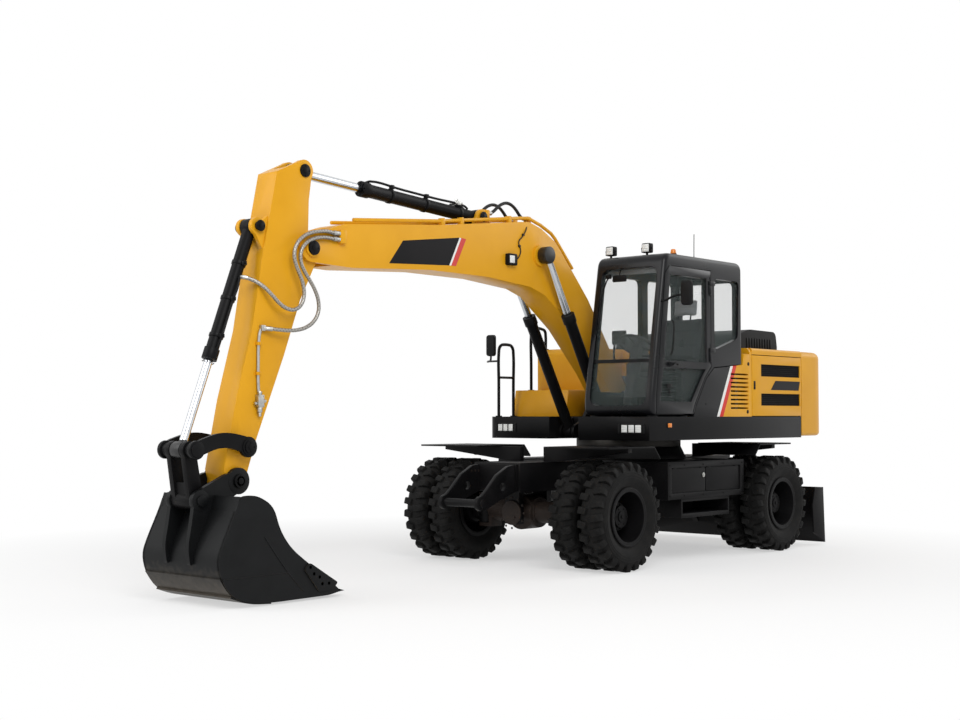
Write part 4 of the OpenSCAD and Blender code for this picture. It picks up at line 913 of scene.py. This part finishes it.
pipeAt(bm, [(836, 1195, 2580), (836, 1240, 2580), (852, 1320, 2606), (860, 1410, 2620), (860, 1450, 2620)],
       railSet["stay"])
for x, z in railSet["feet"]:
    discAt(bm, (x, railY, z), (0, 0, 1), 36, 10, 2, 24)
standFor("railTubes", bm, blackEnamel, "upper", "frame paint", "handrails")
mirrorSet = {"right": (260, -1500, 2250), "left": (860, 1500, 2640), "wide": 60, "high": 120, "deep": 20}
bm = bmesh.new()
wide, tall, deep = (mirrorSet[key] for key in ("wide", "high", "deep"))
for x, y, z in (mirrorSet["right"], mirrorSet["left"]):
    plateAt(bm, (y - wide, z - tall), (y + wide, z + tall), (36,), (x - deep, x + deep), "x", 14)
standFor("mirrorShells", bm, blackPlastic, "upper", "black plastic", "mirrors")
print("rails made")

# cab shell: rounded box of pressed steel with its openings cut out
cabSet = {"in": 368, "out": 1200, "front": 1010, "rear": -657, "floor": 1460, "knee": 1640, "top": 3060,
          "wall": 60, "roof": 100, "edge": 46, "pane": 64, "hinges": (2010, 2690)}
bm = bmesh.new()
profile = [(cabSet["front"], cabSet["floor"]), (cabSet["front"], cabSet["knee"]), (770, cabSet["top"]),
           (cabSet["rear"], cabSet["top"]), (cabSet["rear"], cabSet["floor"])]
prismAt(bm, rounded(profile, cabSet["roof"], 6), cabSet["in"], cabSet["out"])
bevelWhere(bm, lambda p: True, cabSet["edge"], 5)
leftWall = (cabSet["out"] - cabSet["wall"] - 1, cabSet["out"] + 1)
rightWall = (cabSet["in"] - 1, cabSet["in"] + cabSet["wall"] + 1)
# the room, side panel, door, rear quarter, two right panes, windscreen, rear pane, roof hatch
holes = [opening([(950, 1520), (950, 1645), (716, 3000), (-597, 3000), (-597, 1520)],
                 cabSet["in"] + cabSet["wall"], cabSet["out"] - cabSet["wall"], "y", 50),
         opening([(-667, 1442), (290, 1442), (244, 1566), (57, 1838), (-96, 1954), (-667, 2003)],
                 *leftWall, "y", 0),
         opening([(943, 1474), (943, 1660), (780, 2863), (703, 2938), (-48, 2938), (-48, 1954), (68, 1849),
                  (257, 1575), (300, 1474)], *leftWall, "y", 0),
         opening([(-110, 2130), (-110, 2860), (-585, 2860), (-560, 2260)], *leftWall, "y", cabSet["pane"]),
         opening([(880, 1700), (700, 2880), (60, 2880), (60, 1900), (300, 1700)],
                 *rightWall, "y", cabSet["pane"]),
         opening([(-40, 2100), (-40, 2880), (-560, 2880), (-560, 2150)], *rightWall, "y", cabSet["pane"]),
         opening([(448, 1560), (1120, 1560), (1120, 2930), (448, 2930)], 500, 1200, "x", 100),
         opening([(458, 2200), (1110, 2200), (1110, 2860), (458, 2860)], -800, -500, "x", cabSet["pane"]),
         opening([(-200, 528), (380, 528), (380, 1040), (-200, 1040)], 2960, 3070, "z", 40)]
bm = carved(bm, holes)
for z in cabSet["hinges"]:
    discAt(bm, (-24, 1202, z + 96), (0, 0, 1), 16, 40, 2, 20)
    discAt(bm, (-24, 1202, z - 8), (0, 0, 1), 8, 110, 1, 16)
    blockAt(bm, (-105, 1190, z + 96), (-49, 1205, z + 136), 2)
    blockAt(bm, (-105, 1201, z + 96), (-24, 1216, z + 136), 2)
for x in (380, 900):
    for y in (448, 1120):
        discAt(bm, (x, y, 1451), (0, 0, 1), 55, 11, 2, 28)
standFor("cabShell", bm, cabEnamel, "upper", "frame paint", "cab_frame")
print("cab made")

# boom: lamp housing, block of the arm hoses, seats of the back hoses, elbows where hoses end
bm = bmesh.new()
plateAt(bm, (1831, 2910), (1963, 3022), (18, 3), (158, 206), "y", 5)
put("boomLampBox", bm, blackPlastic, "boom")
bm = bmesh.new()
blockAt(bm, (4080, 158, 2918), (4150, 202, 3032), 6)
for s in (1, -1):
    low, high = facing(s, 60, 112)
    for x in (1510, 2130):
        blockAt(bm, (x, low, 3330), (x + 60, high, 3426), 6)
put("hoseSeats", bm, yellowEnamel, "boom")
bm = bmesh.new()
blockAt(bm, (4928, 119, 2142), (4970, 158, 2190), 6)
put("armElbow", bm, zincSteel, "arm")
bm = bmesh.new()
pipeAt(bm, [(5052, 76, 2566), (5078, 56, 2572), (5096, 34, 2574)], 18, 4)
put("barrelElbow", bm, zincSteel, "bucket_barrel")
print("boom dressed")

# arm: pipe from the lower hose to its check valve with its ports and bolts, clamps
valveSet = {"x": 4974, "y": 142, "low": 1530, "high": 1630, "seat": 119, "face": 166}
valveX, valveY = valveSet["x"], valveSet["y"]
bm = bmesh.new()
pipeAt(bm, [(4952, 134, 2170), (4968, 134, 2140), (4982, 134, 2060), (4986, 134, 1880), (4984, 134, 1700),
            (4978, 136, 1640)], 13)
blockAt(bm, (valveX - 30, valveSet["seat"], valveSet["low"]),
        (valveX + 30, valveSet["face"], valveSet["high"]), 5)
discAt(bm, (valveX, valveY, valveSet["high"]), (0, 0, 1), 20, 26, 3, 6)
discAt(bm, (valveX, valveY, valveSet["low"]), (0, 0, -1), 22, 40, 3, 20)
discAt(bm, (valveX, valveY, valveSet["low"] - 40), (0, 0, -1), 15, 34, 3, 6)
discAt(bm, (valveX - 30, valveY, 1580), (-1, 0, 0), 16, 30, 3, 6)
discAt(bm, (valveX + 30, valveY, 1560), (1, 0, 0), 14, 24, 3, 6)
for x in (valveX - 22, valveX + 22):
    for z in (valveSet["low"] + 10, valveSet["high"] - 10):
        boltAt(bm, (x, valveSet["face"], z), (0, 1, 0), 6)
put("armValve", bm, zincSteel, "arm")
bm = bmesh.new()
for x, z in ((4984, 2040), (4986, 1800)):
    blockAt(bm, (x - 22, valveSet["seat"], z - 14), (x + 22, 152, z + 14), 3)
    boltAt(bm, (x, 152, z), (0, 1, 0), 8)
put("armPipeClamps", bm, yellowEnamel, "arm")


def ferruleAt(bm, seat, toward, radius=21, length=54):
    # crimped steel sleeve with its nut
    axis = (Vector(toward) - Vector(seat)).normalized()
    discAt(bm, seat, axis, radius * 1.1, 16, 2, 6)
    discAt(bm, Vector(seat) + axis * 15, axis, radius * 0.95, length, 2, 18)
    for k in (0.35, 0.6, 0.85):
        discAt(bm, Vector(seat) + axis * (15 + length * k), axis, radius * 1.02, 5, 1, 18)


bm = bmesh.new()
for route in (routeUpper, routeLower):
    ferruleAt(bm, route[0], route[1])
for s in (1, -1):
    for a, b in ((routeBack[0], routeBack[1]), (routeBack[-1], routeBack[-2])):
        ferruleAt(bm, (a[0], s * a[1], a[2]), (b[0], s * b[1], b[2]), 20, 26)
put("boomHoseEnds", bm, zincSteel, "boom")
bm = bmesh.new()
ferruleAt(bm, routeLower[-1], routeLower[-2])
put("armHoseEnd", bm, zincSteel, "arm")

# cylinder barrels: clamps, pipes along them, bolts of the heads
barrelSet = {"bucket": ((4966, 0, 2992), (5636, 0, 1199), 52), "arm": ((2229, 0, 3351), (4487, 0, 3499), 60),
             "headBolts": 8}


def headBoltsAt(bm, foot, run, far, ring, size):
    # a ring of bolts about the barrel's axis
    for k in range(barrelSet["headBolts"]):
        turn = Matrix.Rotation(k * math.pi / 4, 3, run)
        boltAt(bm, foot + run * far + turn @ Vector((0, ring, 0)), run, size)


foot, tip, radius = barrelSet["bucket"]
foot = Vector(foot)
run = (Vector(tip) - foot).normalized()
bm = bmesh.new()
for far in (330, 640, 960):
    middle = foot + run * far
    discAt(bm, middle - run * 16, run, radius + 7, 32, 3, 32)
    seat = middle + Vector((0, radius + 4, 0))
    blockAt(bm, seat - Vector((20, 0, 16)), seat + Vector((20, 26, 16)), 3)
    boltAt(bm, seat + Vector((0, 26, 0)), (0, 1, 0), 8)
side = Vector((0, radius + 16, 0))
pipeAt(bm, [foot + run * far + side * share
            for far, share in ((440, 0.6), (470, 1.0), (700, 1.0), (1040, 1.0), (1078, 0.8))], 10)
headBoltsAt(bm, foot, run, 1182, radius - 8, 8)
put("bucketBarrelPipes", bm, blackEnamel, "bucket_barrel")
foot, tip, radius = barrelSet["arm"]
foot = Vector(foot)
run = (Vector(tip) - foot).normalized()
up = Vector((-run.z, 0, run.x))
clampStops = (240, 700, 1150)
bm = bmesh.new()
for far in clampStops:
    discAt(bm, foot + run * (far - 16), run, radius + 7, 32, 3, 32)
for y, stops in ((26, (130, 180, 600, 1000, 1420, 1470)), (-26, (130, 180, 230, 300, 340))):
    shift = up * (radius + 20) + Vector((0, y, 0))
    ends = (0.8,) + (1.0,) * (len(stops) - 2) + (0.75,)
    pipeAt(bm, [foot + run * far + shift * share for far, share in zip(stops, ends)], 11)
    for far in clampStops:
        if y > 0 or far < 300:
            seat = foot + run * far + up * (radius + 4) + Vector((0, y, 0))
            blockAt(bm, seat - Vector((20, 17, 4)), seat + Vector((20, 17, 34)), 3)
headBoltsAt(bm, foot, run, 1516, radius - 6, 9)
put("armBarrelPipes", bm, blackEnamel, "arm_barrel")
bm = bmesh.new()
tee = foot + run * 262 + up * (radius + 30)
blockAt(bm, tee - Vector((26, 44, 16)), tee + Vector((26, 44, 20)), 5)
for y in (-26, 26):
    discAt(bm, tee + Vector((26, y, 2)), run, 16, 26, 2, 6)
    discAt(bm, tee + Vector((-26, y, 2)), -run, 16, 26, 2, 6)
discAt(bm, tee + Vector((0, 0, 20)), (0, 0, 1), 17, 24, 2, 6)
put("armBarrelTee", bm, zincSteel, "arm_barrel")
print("arm dressed")

# lamps: lenses, brackets, beacon, marker, antenna
lensSet = {"cells": 3, "low": 1299, "high": 1371, "ribs": (1312, 1335, 1358), "roofRibs": (3110, 3133, 3156)}
bm = bmesh.new()
bmBar = bmesh.new()
for x, y0, y1 in (housingSet["left"], housingSet["right"]):
    cell = (y1 - y0 - 12) / lensSet["cells"]
    for i in range(lensSet["cells"]):
        a, b = y0 + 14 + i * cell, y0 + i * cell + cell - 2
        blockAt(bm, (x + 7, a, lensSet["low"]), (x + 13, b, lensSet["high"]), 3)
        for z in lensSet["ribs"]:
            blockAt(bm, (x + 12, a + 5, z - 8), (x + 15, b - 5, z + 8), 2)
    for y in (y0 - 18, y1 + 18):
        blockAt(bmBar, (x - 1, y - 14, 1288), (x + 10, y + 14, 1382), 4)
        for z in (1302, 1368):
            boltAt(bmBar, (x + 10, y, z), (1, 0, 0), 7)
for y in housingSet["roof"]:
    blockAt(bm, (657, y - 39, 3095), (666, y + 39, 3171), 4)
    for z in lensSet["roofRibs"]:
        blockAt(bm, (665, y - 34, z - 8), (669, y + 34, z + 8), 2)
    blockAt(bmBar, (620, y - 58, 3090), (650, y - 49, 3140), 2)
    blockAt(bmBar, (620, y + 49, 3090), (650, y + 58, 3140), 2)
    for s in (-1, 1):
        discAt(bmBar, (housingSet["roofX"], y + s * 58, 3130), (0, s, 0), 9, 8, 2, 12)
put("lampLenses", bm, lampWhite, "upper")
put("lampBrackets", bmBar, blackPlastic, "upper")
bm = bmesh.new()
discAt(bm, (*housingSet["beacon"], 3075), (0, 0, 1), 31, 46, 7, 28, 23)
blockAt(bm, (692, 1206, 1348), (756, 1214, 1388), 5)
blockAt(bm, (700, 1213, 1358), (748, 1217, 1378), 3)
put("amberLamps", bm, amberLens, "upper")
mastX, mastY = -200, 900
bm = bmesh.new()
discAt(bm, (mastX, mastY, 3059), (0, 0, 1), 22, 22, 5, 20, 14)
discAt(bm, (mastX, mastY, 3080), (0, 0, 1), 9, 40, 2, 12, 6)
pipeAt(bm, [(mastX, mastY, 3110), (mastX - 1, mastY, 3220), (mastX - 4, mastY, 3350)], 4, 3)
put("antenna", bm, blackPlastic, "upper")

# side panels: grille mesh, plain dark panel, latch, plugs
grilleSet = {"x": (-1868, -1032), "z": (1569, 1881), "high": 130, "cells": (40, 6), "wire": 5, "mesh": 1187}
darkPanel = [(-1230, 1738), (-1330, 1838), (-1868, 1838), (-1836, 1738)]
latchPlate = [(-905, 1740), (-875, 1740), (-875, 1830), (-905, 1830)]
lowX, highX = grilleSet["x"]
high = grilleSet["high"]
for hand, s in (("left", 1), ("right", -1)):
    body = "service_door_" + hand
    bm = bmesh.new()
    for z in grilleSet["z"]:
        prismAt(bm, [(lowX, z + 1), (highX, z + 1), (highX, z + high - 1), (lowX, z + high - 1)],
                *facing(s, 1181, 1184))
        place = (Matrix.Translation(((lowX + highX) / 2, s * grilleSet["mesh"], z + high / 2))
                 @ Matrix.Rotation(math.pi / 2, 4, "X") @ Matrix.Diagonal((highX - lowX - 4, high - 6, 1, 1)))
        made = bmesh.ops.create_grid(bm, x_segments=grilleSet["cells"][0], y_segments=grilleSet["cells"][1],
                                     size=0.5, matrix=place)
        mesh = dict.fromkeys(f for v in made["verts"] for f in v.link_faces)
        bmesh.ops.wireframe(bm, faces=list(mesh), thickness=grilleSet["wire"], use_boundary=True,
                            use_replace=True, use_even_offset=True)
    put("grilleMesh" + hand.title(), bm, blackPlastic, body)
    bm = bmesh.new()
    prismAt(bm, darkPanel, *facing(s, 1200, 1201.2))
    put("doorPanel" + hand.title(), bm, darkFilm, body)
    bm = bmesh.new()
    prismAt(bm, latchPlate, *facing(s, 1199, 1207), "y", 2, 8)
    discAt(bm, (-890, s * 1206, 1760), (0, s, 0), 9, 4, 1, 16)
    put("doorLatch" + hand.title(), bm, blackPlastic, body)
bm = bmesh.new()
for x, z in ((-768, 2006), (-750, 1503)):
    discAt(bm, (x, 1197, z), (0, 1, 0), 20, 6, 2, 24)
    discAt(bm, (x, 1203, z), (0, 1, 0), 9, 2, 0.6, 6)
put("panelPlugs", bm, blackPlastic, "upper")
print("sides dressed")


# cab: windscreen bar, wiper, handles, visor, mirror, screen, levers, arm rests
def screenX(z):
    # the windscreen's outer face at a height
    return 986 - max(0, z - cabSet["knee"]) * 234 / 1290


def onScreen(y, z, proud):
    # a place that stands proud of the windscreen
    return (screenX(z) + proud, y, z)


bm = bmesh.new()
prismAt(bm, [(screenX(1982) + 7, 1982), (screenX(2018) + 7, 2018), (screenX(2018) - 20, 2018),
             (screenX(1982) - 20, 1982)], 449, 1119, "y", 3)
pipeAt(bm, [(screenX(2840) + 10, 520, 2850), onScreen(500, 2800, 20), onScreen(470, 2640, 22),
            onScreen(456, 2500, 18)], 8)
pipeAt(bm, [onScreen(470, 2740, 13), onScreen(463, 2550, 13), onScreen(456, 2320, 13)], 7)
blockAt(bm, (screenX(2850) - 4, 490, 2836), (screenX(2850) + 26, 550, 2880), 8)
put("cabSeals", bm, blackPlastic, "upper")
bm = bmesh.new()
pipeAt(bm, [(700, 1226, 1955), (700, 1240, 1965), (694, 1244, 1975), (640, 1244, 1975), (622, 1240, 1968),
            (620, 1226, 1960)], 8)
discAt(bm, (720, 1199, 1690), (0, 1, 0), 24, 10, 3, 24)
discAt(bm, (720, 1209, 1690), (0, 1, 0), 12, 5, 1.5, 16)
prismAt(bm, [(690, 1730), (770, 1730), (764, 1775), (684, 1775)], 1199, 1212, "y", 3, 10)
for z in (1580, 2790):
    boltAt(bm, (60, 1200, z), (0, 1, 0), 9)
pipeAt(bm, [(760, 1238, 2060), (752, 1252, 2070), (716, 1252, 2380), (712, 1238, 2390)], 9)
put("doorHandles", bm, blackPlastic, "cab_door")
bm = bmesh.new()
prismAt(bm, [(470, 2880), (1100, 2880), (1094, 2985), (476, 2985)], 718, 730, "x", 3, 20)
blockAt(bm, (716, 470, 2868), (734, 1100, 2884), 5)
put("sunVisor", bm, greyPlastic, "upper")
bm = bmesh.new()
prismAt(bm, [(560, 2800), (730, 2800), (724, 2868), (566, 2868)], 760, 776, "x", 4, 18)
pipeAt(bm, [(768, 646, 2862), (758, 646, 2900), (745, 646, 2925)], 6)
blockAt(bm, (640, 470, 2180), (664, 640, 2320), 8)
pipeAt(bm, [(652, 500, 2190), (640, 480, 2060), (600, 470, 2000)], 12)
for y in (484, 1084):
    discAt(bm, (320, y, 2150), (0.1, 0, 1), 24, 70, 9, 20, 20)
    discAt(bm, (327, y, 2218), (0.1, 0, 1), 16, 6, 2, 16)
    blockAt(bm, (60, y - 44, 2000), (300, y + 44, 2030), 12)
put("cabFittings", bm, blackPlastic, "upper")
bm = bmesh.new()
for x, y, z in (mirrorSet["left"], mirrorSet["right"]):
    face = x - mirrorSet["deep"] - 2
    prismAt(bm, [(y - 50, z - 108), (y + 50, z - 108), (y + 50, z + 108), (y - 50, z + 108)],
            face - 0.5, face + 3, "x", 0, 28)
put("mirrorFaces", bm, mirrorGlass, "upper")
print("cab dressed")

# driver's seat: upholstered pads swollen by cloth pressure over a suspension base
seatSet = {"voxel": 0.006, "pressure": 4.0, "cap": 0.012, "frames": 20}


def paddedPiece(name, outline, low, high, material, channels):
    # a crowned pad from a slightly smaller block, then sewn channels pressed in across it
    bm = bmesh.new()
    prismAt(bm, outline, low, high, "y", 26, 0, 0.5)
    pad = put(name, bm, material, "upper", 3.0)
    remesh = pad.modifiers.new("remesh", "REMESH")
    remesh.mode = "VOXEL"
    remesh.voxel_size = seatSet["voxel"]
    bpy.context.view_layer.update()
    pad.data = bpy.data.meshes.new_from_object(pad.evaluated_get(bpy.context.evaluated_depsgraph_get()))
    pad.modifiers.clear()
    before = [v.co.copy() for v in pad.data.vertices]
    cloth = pad.modifiers.new("cloth", "CLOTH")
    cloth.settings.use_pressure = True
    cloth.settings.uniform_pressure_force = seatSet["pressure"]
    cloth.settings.effector_weights.gravity = 0
    for number in range(1, seatSet["frames"] + 1):
        scene.frame_set(number)
    swollen = bpy.data.meshes.new_from_object(pad.evaluated_get(bpy.context.evaluated_depsgraph_get()))
    pad.modifiers.clear()
    scene.frame_set(1)
    for v, old in zip(swollen.vertices, before):
        step = v.co - old
        v.co = old + step * min(1.0, seatSet["cap"] / max(step.length, 1e-6))
    pad.data = swollen
    for v in pad.data.vertices:
        for where, along, wide, deep, push in channels:
            off = (v.co - at(*where)).dot(Vector(along))
            v.co -= Vector(push) * deep * math.exp(-(off / wide) ** 2)
    for face in pad.data.polygons:
        face.use_smooth = True
    smooth = pad.modifiers.new("smooth", "SUBSURF")
    smooth.levels = smooth.render_levels = 1
    pad.data.materials.clear()
    pad.data.materials.append(material)
    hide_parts("cab_seat")
    return pad


middle = 784
cushion = [(-60, 1918), (400, 1918), (404, 1996), (-60, 2000)]
backrest = [(-148, 2030), (-52, 2030), (-158, 2470), (-238, 2470)]
headrest = [(-246, 2500), (-184, 2500), (-206, 2668), (-266, 2668)]
paddedPiece("seatCushion", cushion, middle - 236, middle + 236, seatCloth,
            [((120, middle, 2000), (1, 0, 0), 0.012, 0.007, (0, 0, 1)),
             ((300, middle, 2000), (1, 0, 0), 0.012, 0.006, (0, 0, 1))])
paddedPiece("seatBack", backrest, middle - 226, middle + 226, seatCloth,
            [((-80, middle, 2180), (-0.23, 0, 0.97), 0.012, 0.007, (0.97, 0, 0.23)),
             ((-120, middle, 2330), (-0.23, 0, 0.97), 0.012, 0.007, (0.97, 0, 0.23))])
paddedPiece("headRest", headrest, middle - 130, middle + 130, headCloth,
            [((-200, middle, 2585), (-0.15, 0, 0.99), 0.01, 0.004, (0.98, 0, 0.15))])
bm = bmesh.new()
blockAt(bm, (-60, middle - 180, 1520), (300, middle + 180, 1560), 10)
for i in range(6):
    blockAt(bm, (-40 + 8 * (i % 2), middle - 160 + 8 * (i % 2), 1558 + i * 50),
            (280 - 8 * (i % 2), middle + 160 - 8 * (i % 2), 1610 + i * 50), 14)
blockAt(bm, (-80, middle - 225, 1858), (380, middle + 225, 1906), 12)
for y in (middle - 60, middle + 60):
    pipeAt(bm, [(-205, y, 2440), (-216, y, 2480), (-226, y, 2530)], 8, 3)
seatBase = put("seatBase", bm, blackPlastic, "upper")
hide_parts("cab_seat")
print("seat made")


# light and floor
def seenRays(tree):
    # one for rays to the eye: straight, through glass or off a gloss
    paths = addNode(tree, "ShaderNodeLightPath").outputs
    seen = mathOf(tree, "MAXIMUM", paths["Is Camera Ray"], paths["Is Transmission Ray"])
    return mathOf(tree, "MAXIMUM", seen, paths["Is Glossy Ray"])


# white paper floor, lost in the background away from the wheels
floorMat, tree, shader, where = newMaterial("paleFloor")
shader.inputs["Base Color"].default_value = linear("#f4f4f4")
shader.inputs["Roughness"].default_value = 0.9
floorSet = {"near": 3.0, "far": 7.0, "least": 0.5, "size": 60}
away = addNode(tree, "ShaderNodeVectorMath", {"operation": "LENGTH"}, {0: where})
fade = rangeOf(tree, away.outputs["Value"],
               {"From Min": floorSet["near"], "From Max": floorSet["far"], "To Min": floorSet["least"]})
white = mathOf(tree, "MULTIPLY", fade, seenRays(tree))
glow = addNode(tree, "ShaderNodeEmission", {"Color": linear("#ffffff"), "Strength": 1.0})
both = addNode(tree, "ShaderNodeMixShader", None,
               {0: white, 1: shader.outputs["BSDF"], 2: glow.outputs["Emission"]})
tree.links.new(both.outputs["Shader"], tree.nodes["Material Output"].inputs["Surface"])
bm = bmesh.new()
bmesh.ops.create_grid(bm, x_segments=1, y_segments=1, size=floorSet["size"])
mesh = bpy.data.meshes.new("floor")
bm.to_mesh(mesh)
bm.free()
floor = bpy.data.objects.new("floor", mesh)
scene.collection.objects.link(floor)
mesh.materials.append(floorMat)
world = bpy.data.worlds.new("studio")
scene.world = world
world.use_nodes = True
tree = world.node_tree
back = tree.nodes["Background"]
back.inputs["Color"].default_value = linear("#ffffff")
level = rangeOf(tree, seenRays(tree), {"To Min": 0.45, "To Max": 1.0})
tree.links.new(level, back.inputs["Strength"])
# place, size in metres, watts
lampSet = {"key": ((9000, 9000, 9000), 6.0, 820), "fill": ((12000, -4000, 7000), 7.0, 400),
           "rear": ((-9000, 5000, 8000), 7.0, 320)}
lampAim = (1000, 0, 1200)
for name, (place, size, power) in lampSet.items():
    data = bpy.data.lights.new(name, "AREA")
    data.size = size
    data.energy = power
    o = bpy.data.objects.new(name, data)
    o.location = at(*place)
    o.rotation_euler = (at(*lampAim) - o.location).to_track_quat("-Z", "Y").to_euler()
    scene.collection.objects.link(o)
print("light set")
